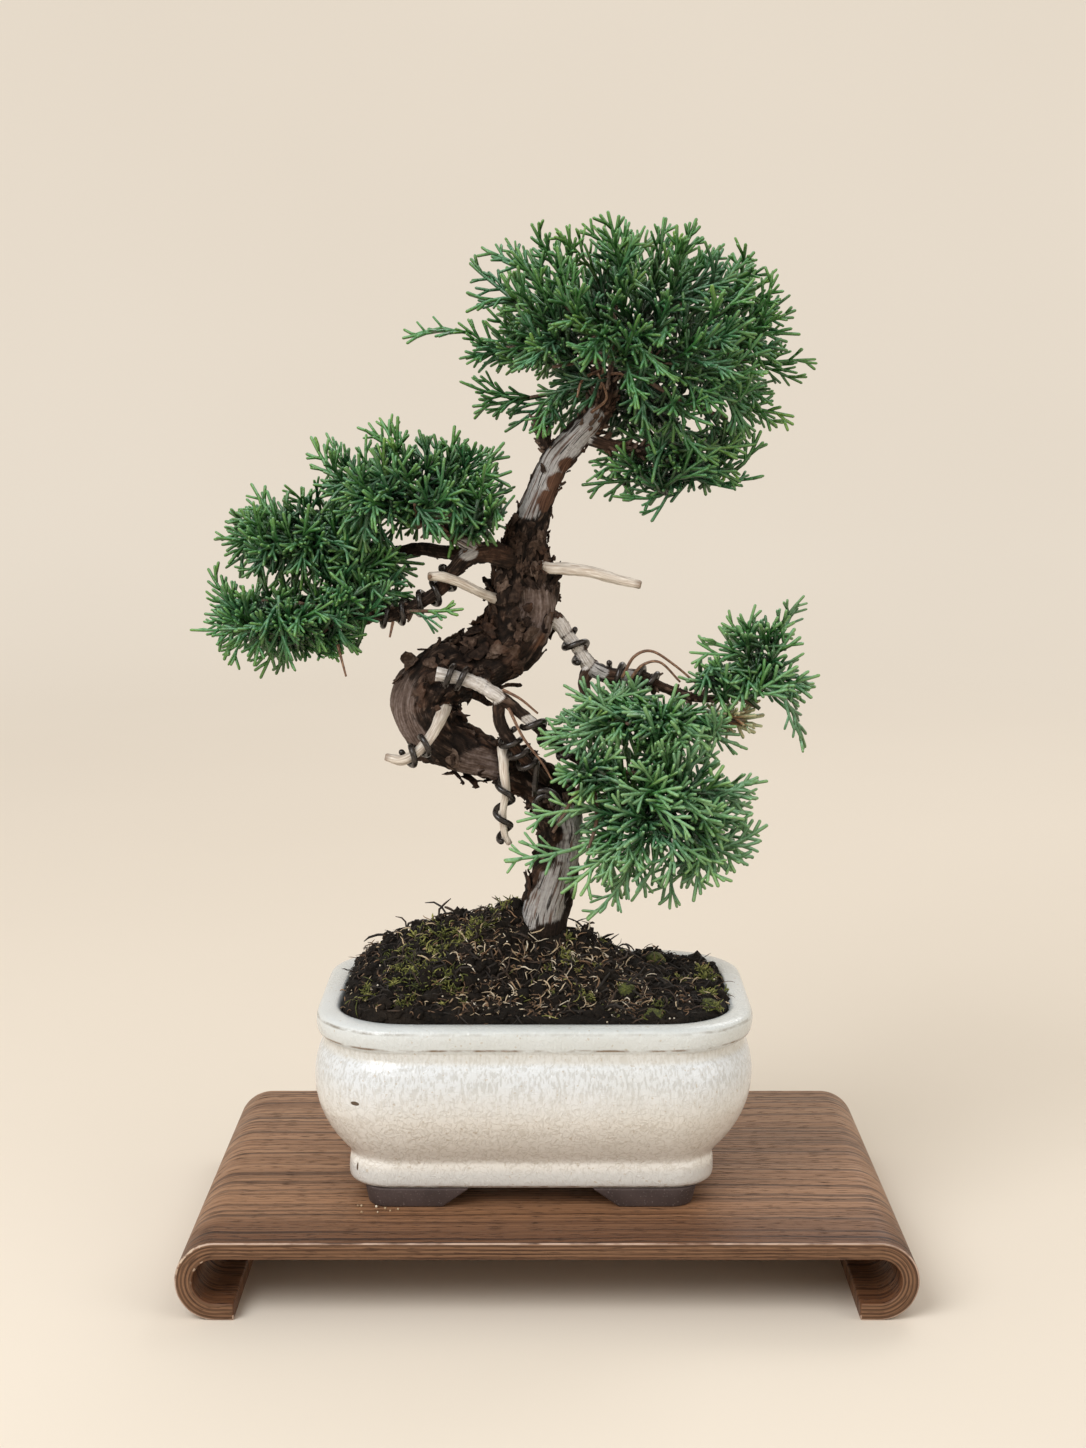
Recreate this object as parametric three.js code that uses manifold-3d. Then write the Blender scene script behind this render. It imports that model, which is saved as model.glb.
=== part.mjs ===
// A kishu juniper bonsai in a glazed pot on a bent-wood stand, in millimetres, +Z up.
// The origin is the middle of the stand's underside, and the front faces -Y.
import * as THREE from 'three';
import { mergeVertices } from 'three/addons/utils/BufferGeometryUtils.js';
import Module from 'manifold-3d';

const wasm = await Module();
wasm.setup();

// Driving sizes
const GAP = 0.3;
const STAND = { width: 242, depth: 158, height: 26.3, ply: 5.8, lip: 6, lipRound: 1.5 };
const POT = { centreX: -3.5, lessDeep: 18, floorZ: 39, baseZ: 32.7, cornerSteps: 4 };
const FEET = {
  topHalf: 57, bottomHalf: 54, lessDeep: 16, corner: 18, frontGap: 20, sideGap: 12, gapSlant: 8,
};
const DRAIN = { radius: 7.5, depth: 20, fromCentre: 26, screen: 20, screenThick: 1, hole: 5, holeX: 4 };
const SOIL = {
  edgeZ: 91, fromWall: 0.5, peak: [-8, 2, 121.5], lump: 2.4, leftLift: 4,
  shares: [0.98, 0.82, 0.64, 0.46, 0.28, 0],
};
const BARK = { startZ: 124, endZ: 262, fadeIn: 12, fadeOut: 20, flake: 0.15 };
const WIRE = { radius: 1, clear: 0.6, sides: 5, stepsPerTurn: 8 };
const TWIG = { radius: 1.3, root: 0.45, base: 2.2, limb: 1.8, clear: 0.5 };
const SPRAY = {
  reach: 29, rootRoom: 3, pairs: 2, first: 0.4, last: 0.72,
  spread: 0.68, length: 0.5, taper: 0.6, longest: 16,
};
const COLORS = {
  wood: 0x7a5a42, glaze: 0xe6e2d8, mesh: 0x2b2f2b, soil: 0x2a211b, bark: 0x4c382b, wire: 0x4d443f,
  leaf: 0x2f6b40, deadLeaf: 0x8a5a3c,
};
// Where the first ring of every stem starts, before it is carried along
const FIRST_SIDE = new THREE.Vector3(0.31, 0.95, 0.05);

// Pot wall, from the middle of its underside, up the outside and down to its floor:
// half width, height and corner radius of each ring
const POT_RINGS = [
  [0, 32.7, 0], [60.5, 32.7, 22], [63.4, 34.6, 23], [64.2, 39, 24], [70.3, 45, 28],
  [74.2, 51, 30], [76.4, 59, 31], [77, 67, 31], [76.3, 73.5, 31], [73.2, 78.6, 30], [73.2, 82.5, 30],
  [75, 83.6, 30], [75.4, 88.4, 30], [73.8, 90.5, 29], [69.2, 90.8, 26], [67.9, 89.6, 25],
  [67.8, 80, 25], [70.6, 67, 26], [69, 52, 24], [63, 43, 20], [57, 39, 16], [0, 39, 0],
];
const POT_INSIDE = 15;

// Trunk and branches: x, y, z and radius along each middle line
const TRUNK = [
  [-3, 2, 96, 9.6], [-2.4, 2, 109, 9.4], [-0.6, 2, 119, 8.6], [1.5, 2, 127, 8.2], [4.3, 2, 137, 7.6],
  [5, 1, 148, 8], [2.6, 0, 158.6, 8], [-5.8, -2, 166, 7.7], [-16.3, -4, 171.4, 7.3],
  [-28.4, -5, 175.6, 8], [-39, -5, 181.6, 9.4], [-43.6, -3, 191.2, 10.2], [-37.4, 0, 200.4, 10.6],
  [-24.6, 3, 205, 11], [-13.6, 4, 212, 11.4], [-8.4, 4, 223, 11.6], [-7.9, 3, 233.8, 10.8],
  [-8.2, 2, 241.5, 9.3], [-7, 1, 250, 7.5], [-4.2, 0, 259, 6.2], [-1, 0, 267, 5.8],
  [3.2, 0, 276, 5.7], [9.6, 0, 283.3, 5.1], [15.6, 0, 289.6, 4.9], [19.4, 0, 297, 4.2], [21.2, 0, 305.6, 3.1],
];
const BRANCHES = {
  right: [[-6, 2, 224, 4], [3.2, 2, 220.6, 3.1], [7.4, 1, 215.2, 2.4], [11.9, 0, 209.7, 2.4],
    [15.6, 0, 204.4, 2.9], [22, 0, 201.5, 2.9], [32.4, 0, 201, 2.4], [39.4, 0, 197.8, 1.9],
    [46.7, 0, 195, 1.7], [54, 0, 193.4, 1.5], [63.8, 0, 193.9, 1.3]],
  rightDown: [[15, 0, 205, 2.4], [12.9, -3, 199.5, 2.1], [14, -6, 195.5, 1.9], [17.3, -8, 192, 1.7]],
  front: [[-37.5, -19, 204.4, 2.7], [-29.6, -19, 203, 2.6], [-22.7, -19, 200.6, 2.6],
    [-15.9, -19, 196.4, 2.4], [-9.2, -18, 191.2, 2.1], [-2.3, -18, 185, 1.8], [4.5, -18, 179, 1.6],
    [12.6, -19, 173.4, 1.5]],
  frontStub: [[-22, 0, 204, 4], [-22.6, -10, 202, 3.4], [-21.6, -19, 200, 2.6]],
  inner: [[-16.5, -18, 196.4, 2.2], [-16, -18, 188, 2.2], [-12, -17.5, 180.5, 2.1], [-6.5, -16, 173.4, 1.9],
    [-2.5, -12, 168.5, 1.9], [0, -6, 165, 2.2]],
  left: [[-8, -2, 242, 5], [-14.3, -4, 243.3, 4.2], [-21.1, -7, 244.8, 3.8], [-26.8, -9, 243.6, 3.4],
    [-32.3, -10, 238.2, 2.6], [-36.4, -11, 232.5, 2.3], [-41.8, -12, 228.5, 2.1], [-48.3, -12, 225.1, 2.2],
    [-54.1, -12, 223.4, 2.2], [-60.3, -11, 223.8, 1.8], [-67.2, -10, 224.6, 1.5]],
  leftUp: [[-20.8, -6, 244, 3], [-26.4, -10, 248, 2.5], [-33, -12, 251.4, 2.1], [-41.3, -12, 253.6, 1.8]],
  leftMiddle: [[-27, -8, 243.6, 2.8], [-35, -2, 244.4, 2.4], [-44, 3, 245.2, 2.3], [-54, 4, 243.6, 2.2],
    [-63, 4, 244.1, 1.6]],
  crownLow: [[11, 0, 285, 3], [18.6, -1, 281.6, 2.1], [28, -2, 280, 1.9], [38.6, -3, 278, 1.5]],
  crownLeft: [[3, 1, 275, 2.4], [-0.8, 0, 283, 1.9], [-2, 0, 290, 1.3]],
};
// Bleached dead stubs, cut blunt
const STUBS = {
  right: [[-6, 0, 239.6, 2.6], [0.4, -4, 239.2, 2.1], [6.2, -6, 239, 2], [14.7, -8, 238.1, 2],
    [24.9, -10, 235.5, 1.7], [32.1, -11, 233.9, 1.4]],
  left: [[-12, -3, 226, 2.4], [-20.1, -8, 229.6, 1.6], [-24.1, -11, 231.9, 1.6], [-30.8, -14, 235.6, 1.7],
    [-36.1, -16, 237.2, 1.7], [-40.1, -17, 237.2, 1.4]],
  loop: [[-35, -6, 192.6, 2.8], [-36.6, -17, 188, 2.2], [-39.4, -23, 183, 2], [-44, -25, 178.4, 2],
    [-49, -26, 176, 2], [-54.6, -26, 177, 1.5]],
  hanging: [[-14, -4, 178, 3.4], [-14.8, -13, 176.6, 2.4], [-14.6, -17.5, 171.6, 1.9],
    [-14, -18, 163.6, 1.7], [-15.1, -18, 156, 1.3], [-14.4, -18, 149, 1.2], [-12.6, -18, 145.4, 1]],
};

// Foliage: each tier grows from the end of one branch. Its limbs are short twigs that start at
// its hub, its tips are the ends of the sprays that stand out of its outline, and its dome
// is the rounded mass whose front and back the other sprays reach.
const TIERS = {
  foliage_crown: {
    hub: [22, 0, 311],
    knot: 5,
    limbs: [
      [[24, 2, 332]], [[4, -3, 330]], [[2, 4, 313], [-14, 3, 314]], [[6, 8, 300], [-6, 7, 297]],
      [[48, -2, 330]], [[56, 2, 313], [68, 0, 309]], [[44, 5, 297], [62, 3, 290]],
      [[22, -22, 324]], [[2, -19, 307]], [[43, -22, 308]], [[20, -22, 300]],
      [[22, 22, 324]], [[2, 20, 305]], [[44, 22, 306]],
    ],
    tips: [
      [-49, 4, 319], [-30, 2, 322], [-30, -4, 311], [-30, 0, 301], [-25, 4, 293], [-14, 8, 285],
      [-28, 2, 339], [-21, -4, 346], [-16, 6, 348], [-5, 0, 355], [3, -8, 352], [14, 2, 357],
      [21, 0, 359], [31, -6, 354], [41, 4, 357], [51, 0, 350], [58, -5, 345], [71, 3, 341],
      [73, -4, 330], [85, -6, 318], [91, 0, 313], [87, 4, 302], [84, -4, 290], [79, 6, 287],
      [-6, -7, 284],
    ],
    dome: { centre: [29, 0, 312], half: [58, 45, 42], count: 40, lowest: -0.5 },
  },
  foliage_crown_low: {
    hub: [40.6, -3, 277.6],
    knot: 2.2,
    limbs: [[[50, 0, 277]], [[36, -8, 274]], [[44, 6, 272]]],
    tips: [
      [73, 0, 272], [64, -6, 271], [46, 2, 265], [39, -4, 263], [30, 4, 266], [22, -6, 262],
      [13, 7, 265], [56, 10, 268],
    ],
    dome: { centre: [44, 0, 273], half: [20, 16, 8], count: 0, lowest: -1 },
  },
  foliage_left_upper: {
    hub: [-43.4, -12, 254.2],
    knot: 2.6,
    limbs: [
      [[-52, -8, 262], [-62, -4, 268]], [[-47, -6, 268]], [[-35, -8, 266]],
      [[-34, -18, 258], [-24, -19, 257]], [[-44, -24, 262]], [[-48, 4, 263]],
    ],
    tips: [
      [-82, 0, 281], [-75, 4, 285], [-63, -2, 289], [-56, 3, 291], [-49, -5, 290], [-35, -4, 287],
      [-30, 4, 281], [-19, 0, 279], [-15, -8, 277], [-6, -17, 260], [-6, -20, 252], [-17, -22, 246],
      [-30, -29, 253],
    ],
    dome: { centre: [-44, -8, 263], half: [30, 27, 20], count: 12, lowest: -0.6 },
  },
  foliage_left_middle: {
    hub: [-65, 4, 244.6],
    knot: 2.4,
    limbs: [[[-76, 3, 250], [-90, 1, 252]], [[-70, 5, 256]], [[-78, 16, 249]], [[-80, -9, 249]]],
    tips: [
      [-75, 2, 272], [-88, 4, 269], [-102, 0, 265], [-111, 5, 255], [-113, -4, 247], [-64, 14, 265],
    ],
    dome: { centre: [-84, 2, 249], half: [26, 25, 16], count: 10, lowest: -0.4 },
  },
  foliage_left_lower: {
    hub: [-69.4, -10, 224.8],
    knot: 2.4,
    limbs: [
      [[-82, -8, 226], [-98, -4, 228]], [[-86, -4, 217], [-97, -1, 214]], [[-76, -13, 218]],
      [[-84, 8, 225]], [[-84, -22, 229]],
    ],
    tips: [
      [-117, 3, 238], [-117, -6, 230], [-119.8, -20, 218], [-109, -6, 206], [-100, 0, 201], [-92, 6, 202],
      [-81, -4, 210], [-62, -13, 212], [-71, -14, 208], [-60, -20, 236],
    ],
    dome: { centre: [-91, -5, 222], half: [25, 27, 16], count: 12, lowest: -0.9 },
  },
  foliage_left_sprig: {
    hub: [-47, -16, 225.4],
    knot: 1.1,
    limbs: [[[-40, -21, 226]]],
    tips: [[-28, -25, 226], [-34, -25, 221]],
    dome: { centre: [-38, -16, 226], half: [8, 6, 4], count: 0, lowest: -1 },
  },
  foliage_right_upper: {
    hub: [18.6, -8.6, 189.6],
    knot: 2,
    limbs: [[[30, -7, 190], [44, -4, 187]], [[24, -2, 195]], [[12, -12, 191]], [[28, -18, 187]]],
    tips: [
      [-4, -25, 186], [5, -12, 199], [25, -10, 203], [34, -7, 195], [46, -10, 190], [68, -3, 175],
      [-1, -24, 178],
    ],
    dome: { centre: [32, -8, 187], half: [32, 20, 11], count: 8, lowest: -0.7 },
  },
  foliage_right_lower: {
    hub: [14.8, -19.4, 172],
    knot: 2.6,
    limbs: [
      [[30, -17, 170], [48, -13, 166]], [[28, -18, 158], [46, -14, 150]], [[17, -22, 156], [14, -23, 144]],
      [[8, -24, 161], [2, -26, 151]], [[30, -30, 166]], [[36, 2, 164]],
    ],
    tips: [
      [-14, -26, 141], [-10, -26, 155], [76, -10, 166], [76, -14, 149], [70, -8, 136], [60, -16, 134],
      [51, -10, 130], [39, -14, 122], [26, -19, 128], [16, -22, 119], [7, -26, 129], [70, -14, 159],
    ],
    dome: { centre: [38, -15, 156], half: [35, 25, 22], count: 14, lowest: -0.6 },
  },
  foliage_far_right: {
    hub: [66, 0, 194.4],
    knot: 1.8,
    limbs: [[[74, 0, 201], [77, 0, 208]], [[80, -1, 198]], [[74, -2, 190]]],
    tips: [
      [85, 0, 231], [68, 2, 226], [55, -4, 217], [61, 4, 219], [50, 0, 207], [94, -3, 203],
      [94, 3, 195], [88, 0, 210], [89, -4, 177], [81, 5, 214], [86, -9, 206],
    ],
    dome: { centre: [76, 0, 204], half: [15, 12, 12], count: 0, lowest: -0.5 },
  },
  foliage_dead: {
    hub: [53, -0.4, 189.8],
    knot: 1.2,
    limbs: [[[61, 2, 186]]],
    tips: [[76, 4, 186], [72, 4, 179], [75, 7, 189]],
    dome: { centre: [64, 0, 186], half: [8, 5, 4], count: 0, lowest: -1 },
  },
};

// Training wires: the branch each is wound on, the stretch it covers as point numbers
// along that branch, its turns, and where round the branch it starts, in turns
const WIRES = {
  wire_front_end: { on: BRANCHES.front, from: 0.25, to: 1.35, turns: 2, start: 0.25 },
  wire_front_limb: { on: BRANCHES.front, from: 4.4, to: 6.6, turns: 2.5, start: 0.5 },
  wire_inner_twig: { on: BRANCHES.inner, from: 1.55, to: 3.1, turns: 3, start: 0, coil: true },
  wire_loop_stub: { on: STUBS.loop, from: 2.1, to: 3.9, turns: 2, start: 0.5 },
  wire_hanging_stub: { on: STUBS.hanging, from: 2.2, to: 5.4, turns: 2.5, start: 0.2 },
  wire_right_near: { on: BRANCHES.right, from: 1.9, to: 3.4, turns: 1.6, start: 0.1 },
  wire_right_far: { on: BRANCHES.right, from: 4.8, to: 6.9, turns: 3.5, start: 0 },
  wire_left_branch: { on: BRANCHES.left, from: 4, to: 8.6, turns: 5, start: 0.4 },
};

// A repeatable draw between 0 and 1 for each whole number
function draw(number) {
  const wave = Math.sin(number * 12.9898 + 78.233) * 43758.5453;
  return wave - Math.floor(wave);
}

function vector(point) {
  return new THREE.Vector3(point[0], point[1], point[2]);
}

// Solids and meshes

function solidOf(geometry) {
  const bare = new THREE.BufferGeometry();
  bare.setAttribute('position', geometry.getAttribute('position'));
  bare.setIndex(geometry.getIndex());
  const merged = mergeVertices(bare, 1e-3);
  const corners = merged.getIndex().array;
  const kept = [];
  for (let i = 0; i < corners.length; i += 3) {
    const [a, b, c] = [corners[i], corners[i + 1], corners[i + 2]];
    if (a !== b && b !== c && c !== a) kept.push(a, b, c);
  }
  return new wasm.Manifold(new wasm.Mesh({
    numProp: 3,
    vertProperties: Float32Array.from(merged.getAttribute('position').array),
    triVerts: Uint32Array.from(kept),
  }));
}

function join(solids) {
  let joined = solids[0];
  for (const solid of solids.slice(1)) joined = joined.add(solid);
  return joined;
}

// The largest body of a solid, without any scrap that a cut left loose
function largestBody(solid) {
  const bodies = solid.decompose();
  bodies.sort((a, b) => b.volume() - a.volume());
  return bodies[0];
}

function meshOf(name, solid, color, roughness, metalness = 0) {
  const { numProp, vertProperties, triVerts } = solid.getMesh();
  const geometry = new THREE.BufferGeometry();
  const positions = new Float32Array((vertProperties.length / numProp) * 3);
  for (let i = 0; i < positions.length / 3; i += 1) {
    for (let k = 0; k < 3; k += 1) positions[i * 3 + k] = vertProperties[i * numProp + k];
  }
  geometry.setAttribute('position', new THREE.BufferAttribute(positions, 3));
  geometry.setIndex(new THREE.BufferAttribute(Uint32Array.from(triVerts), 1));
  geometry.computeVertexNormals();
  const mesh = new THREE.Mesh(geometry, new THREE.MeshStandardMaterial({ color, roughness, metalness }));
  mesh.name = name;
  return mesh;
}

// Rings of points, listed counter-clockwise from above, skinned from the first to the last;
// a lathed shell gives the faces, and its points are moved to the rings
function skin(rings) {
  const count = rings[0].length;
  const profile = rings.map((ring, j) => new THREE.Vector2(1, j));
  const geometry = new THREE.LatheGeometry(profile, count);
  const position = geometry.getAttribute('position');
  for (let i = 0; i <= count; i += 1) {
    rings.forEach((ring, j) => {
      position.setXYZ(i * rings.length + j, ...ring[i % count].toArray());
    });
  }
  return geometry;
}

// A rectangle with round corners, halfX by halfY, as a ring at one height
function roundedRing(halfX, halfY, corner, z) {
  const ring = [];
  const steps = POT.cornerSteps;
  for (let quarter = 0; quarter < 4; quarter += 1) {
    const signX = quarter === 0 || quarter === 3 ? 1 : -1;
    const signY = quarter < 2 ? 1 : -1;
    for (let step = 0; step <= steps; step += 1) {
      const angle = (quarter + step / steps) * Math.PI / 2;
      const x = signX * (halfX - corner) + corner * Math.cos(angle);
      const y = signY * (halfY - corner) + corner * Math.sin(angle);
      ring.push(new THREE.Vector3(POT.centreX + x, y, z));
    }
  }
  return ring;
}

function potRing([half, z, corner], offset = 0) {
  if (half === 0) return roundedRing(0, 0, 0, z);
  return roundedRing(half - offset, half - POT.lessDeep - offset, corner - offset, z);
}

// Points and radii along a smooth line through [x, y, z, radius] points;
// place counts the points, so 2.5 lies half way between the third and the fourth
function lineThrough(points) {
  const curve = new THREE.CatmullRomCurve3(points.map(vector), false, 'catmullrom', 0.5);
  const last = points.length - 1;
  return {
    last,
    at: (place) => curve.getPoint(place / last),
    heading: (place) => curve.getTangent(place / last),
    radius: (place) => {
      const before = Math.min(Math.floor(place), last - 1);
      return THREE.MathUtils.lerp(points[before][3], points[before + 1][3], place - before);
    },
  };
}

// A direction square to the heading, carried along a line without twisting
function carried(side, heading) {
  return side.clone().addScaledVector(heading, -side.dot(heading)).normalize();
}

// A tapering round stem along a line, each ring's radius changed by the rule in relief
function stem(points, sides, steps, relief = () => 0) {
  const line = lineThrough(points);
  const geometry = new THREE.CylinderGeometry(1, 1, 1, sides, steps);
  const position = geometry.getAttribute('position');
  const frames = [];
  let side = FIRST_SIDE;
  for (let ring = 0; ring <= steps; ring += 1) {
    const place = (ring / steps) * line.last;
    const heading = line.heading(place);
    side = carried(side, heading);
    frames.push({
      centre: line.at(place), side, across: heading.clone().cross(side), radius: line.radius(place),
    });
  }
  for (let i = 0; i < position.count; i += 1) {
    const frame = frames[Math.round((0.5 - position.getY(i)) * steps)];
    const angle = Math.atan2(position.getX(i), position.getZ(i));
    const edge = Math.hypot(position.getX(i), position.getZ(i)) > 0.5 ? 1 : 0;
    const radius = edge * (frame.radius + relief(frame.centre, angle, frame.radius));
    const point = frame.centre.clone()
      .addScaledVector(frame.side, radius * Math.sin(angle))
      .addScaledVector(frame.across, radius * Math.cos(angle));
    position.setXYZ(i, point.x, point.y, point.z);
  }
  return geometry;
}

// The stand: one sheet bent over at both ends, with the lips turned back under it

function buildStand() {
  const { width, depth, height, ply, lip, lipRound } = STAND;
  const bend = height / 2;
  const bendX = width / 2 - bend;
  const lipX = bendX - lip;
  const outline = new THREE.Shape();
  outline.moveTo(-lipX, 0);
  outline.lineTo(-bendX, 0);
  outline.absarc(-bendX, bend, bend, -Math.PI / 2, Math.PI / 2, true);
  outline.absarc(bendX, bend, bend, Math.PI / 2, -Math.PI / 2, true);
  outline.lineTo(lipX, 0);
  outline.lineTo(lipX, ply - lipRound);
  outline.absarc(lipX + lipRound, ply - lipRound, lipRound, Math.PI, Math.PI / 2, true);
  outline.absarc(bendX, bend, bend - ply, -Math.PI / 2, Math.PI / 2, false);
  outline.absarc(-bendX, bend, bend - ply, Math.PI / 2, 3 * Math.PI / 2, false);
  outline.absarc(-lipX - lipRound, ply - lipRound, lipRound, Math.PI / 2, 0, true);
  outline.closePath();
  const geometry = new THREE.ExtrudeGeometry(outline, { depth, bevelEnabled: false, curveSegments: 6 });
  geometry.translate(0, 0, -depth / 2);
  geometry.rotateX(Math.PI / 2);
  return meshOf('display_stand', solidOf(geometry), COLORS.wood, 0.5);
}

// The pot: a hollow body with a rolled rim, on four corner feet, with two drain holes

// A bar along Y, or along X if turned, that is wider at its bottom, to part the feet
function footGap(topHalf, turned) {
  const outline = new THREE.Shape();
  const low = STAND.height - 1;
  const high = POT.baseZ + 1;
  const bottomHalf = topHalf + FEET.gapSlant;
  outline.moveTo(-bottomHalf, low);
  outline.lineTo(bottomHalf, low);
  outline.lineTo(topHalf, high);
  outline.lineTo(-topHalf, high);
  outline.closePath();
  const length = STAND.width;
  const geometry = new THREE.ExtrudeGeometry(outline, { depth: length, bevelEnabled: false });
  geometry.translate(0, 0, -length / 2);
  geometry.rotateX(Math.PI / 2);
  if (turned) geometry.rotateZ(Math.PI / 2);
  geometry.translate(POT.centreX, 0, 0);
  return solidOf(geometry);
}

function drainHoles() {
  return [-1, 1].map((side) => {
    const geometry = new THREE.CylinderGeometry(DRAIN.radius, DRAIN.radius, DRAIN.depth, 16);
    geometry.rotateX(Math.PI / 2);
    geometry.translate(POT.centreX + side * DRAIN.fromCentre, 0, POT.baseZ);
    return solidOf(geometry);
  });
}

function buildPot() {
  const body = solidOf(skin(POT_RINGS.map((ring) => potRing(ring))));
  const footRing = (half, z) => roundedRing(half, half - FEET.lessDeep, FEET.corner, z);
  const sunk = POT.baseZ + 0.5;
  const feet = solidOf(skin([
    roundedRing(0, 0, 0, STAND.height), footRing(FEET.bottomHalf, STAND.height),
    footRing(FEET.topHalf, sunk), roundedRing(0, 0, 0, sunk),
  ]));
  let pot = body.add(feet.subtract(footGap(FEET.frontGap, false)).subtract(footGap(FEET.sideGap, true)));
  for (const hole of drainHoles()) pot = pot.subtract(hole);
  return meshOf('pot', pot, COLORS.glaze, 0.2);
}

function buildDrainScreen(name, side) {
  const centreX = POT.centreX + side * DRAIN.fromCentre;
  const plate = new THREE.BoxGeometry(DRAIN.screen, DRAIN.screen, DRAIN.screenThick);
  plate.translate(centreX, 0, POT.floorZ + DRAIN.screenThick / 2);
  let screen = solidOf(plate);
  for (const column of [-1, 1]) {
    for (const row of [-1, 1]) {
      const hole = new THREE.BoxGeometry(DRAIN.hole, DRAIN.hole, 4 * DRAIN.screenThick);
      hole.translate(centreX + column * DRAIN.holeX, row * DRAIN.holeX, POT.floorZ);
      screen = screen.subtract(solidOf(hole));
    }
  }
  return meshOf(name, screen, COLORS.mesh, 0.7);
}

// The soil: it fills the pot and heaps up round the trunk, steeper in front and on the right

// One ring of the heap, at a share of the way from its peak out to the pot's wall
function moundRing(share) {
  const [half, , corner] = POT_RINGS[POT_INSIDE];
  const edge = potRing([half, SOIL.edgeZ, corner], SOIL.fromWall);
  const [peakX, peakY, peakZ] = SOIL.peak;
  return edge.map((point, i) => {
    const angle = Math.atan2(point.y, point.x - POT.centreX);
    const steepness = 1.3 + 0.6 * Math.cos(angle) - 0.6 * Math.sin(angle);
    const lift = (peakZ - SOIL.edgeZ) * (1 - share) ** steepness;
    const leftLift = SOIL.leftLift * share * Math.max(0, -Math.cos(angle));
    const lump = share > 0 ? SOIL.lump * (draw(i * 7 + share * 90) - 0.5) : 0;
    const [x, y] = [THREE.MathUtils.lerp(peakX, point.x, share), THREE.MathUtils.lerp(peakY, point.y, share)];
    return new THREE.Vector3(x, y, SOIL.edgeZ + lift + leftLift + lump);
  });
}

function buildSoil(trunkPlug) {
  const lowest = POT.floorZ + GAP;
  const inside = POT_RINGS.slice(POT_INSIDE).reverse();
  const rings = inside.map(([half, z, corner]) => potRing([half, Math.max(z, lowest), corner], GAP + 0.1));
  for (const share of SOIL.shares) rings.push(moundRing(share));
  let soil = solidOf(skin(rings)).subtract(trunkPlug);
  for (const side of [-1, 1]) {
    const width = DRAIN.screen + 2 * GAP;
    const recess = new THREE.BoxGeometry(width, width, 2 * (DRAIN.screenThick + GAP));
    recess.translate(POT.centreX + side * DRAIN.fromCentre, 0, POT.floorZ);
    soil = soil.subtract(solidOf(recess));
  }
  return meshOf('soil', soil, COLORS.soil, 1);
}

// The tree's wood: flaky bark on the trunk, smoother above it, and smooth dead stubs

function bark(centre, angle, radius) {
  const rise = THREE.MathUtils.smoothstep(centre.z, BARK.startZ - BARK.fadeIn, BARK.startZ);
  const fall = THREE.MathUtils.smoothstep(centre.z, BARK.endZ - BARK.fadeOut, BARK.endZ);
  const flutes = 0.05 * Math.sin(3 * angle + centre.z * 0.11) + 0.04 * Math.sin(5 * angle - centre.z * 0.2);
  const flake = BARK.flake * (draw(Math.round(angle * 40) + Math.round(centre.z * 3) * 17 + centre.x) - 0.5);
  return rise * (1 - 0.6 * fall) * radius * (flutes + flake);
}

function stemsOf(grow) {
  const thicker = (points) => points.map(([x, y, z, radius]) => [x, y, z, radius + grow]);
  const stems = [solidOf(stem(thicker(TRUNK), 12, 36, bark))];
  for (const points of [...Object.values(BRANCHES), ...Object.values(STUBS)]) {
    stems.push(solidOf(stem(thicker(points), 5, points.length)));
  }
  return join(stems);
}

// Room taken up by wood, wires and twigs, as short straight lengths with a radius

const taken = [];

function take(from, to, radius, owner, part = '') {
  taken.push({ span: new THREE.Line3(from, to), radius, owner, part });
}

function takeLine(line, steps, grow, owner, part) {
  for (let i = 0; i < steps; i += 1) {
    const [low, high] = [(i / steps) * line.last, ((i + 1) / steps) * line.last];
    const radius = Math.max(line.radius(low), line.radius(high)) + grow;
    take(line.at(low), line.at(high), radius, owner, part);
  }
}

const nearest = new THREE.Vector3();

// The tightest spot between a point and what is taken, where the rule in counts says yes:
// how far it is from touching, and the way to move to leave it
function tightest(point, counts) {
  let best = { room: Infinity, away: null };
  for (const other of taken) {
    if (!counts(other)) continue;
    other.span.closestPointToPoint(point, true, nearest);
    const room = point.distanceTo(nearest) - other.radius;
    if (room < best.room) best = { room, away: point.clone().sub(nearest).normalize() };
  }
  return best;
}

// A needle stays clear of everything but its own spray
function isClear(from, to, owner, part) {
  const samples = 8;
  for (let i = 2; i <= samples; i += 1) {
    const point = from.clone().lerp(to, i / samples);
    const radius = TWIG.radius * (1 - 0.7 * i / samples);
    const { room } = tightest(point, (other) => other.owner !== owner || other.part !== part);
    if (room < radius + TWIG.clear) return false;
  }
  return true;
}

// Moves a point out of the way of what is taken, where the rule in counts says yes
function bentClear(point, counts) {
  const { room, away } = tightest(point, counts);
  const lacking = TWIG.radius + 2 * TWIG.clear - room;
  return lacking > 0 ? point.clone().addScaledVector(away, lacking) : point;
}

// Foliage

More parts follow.
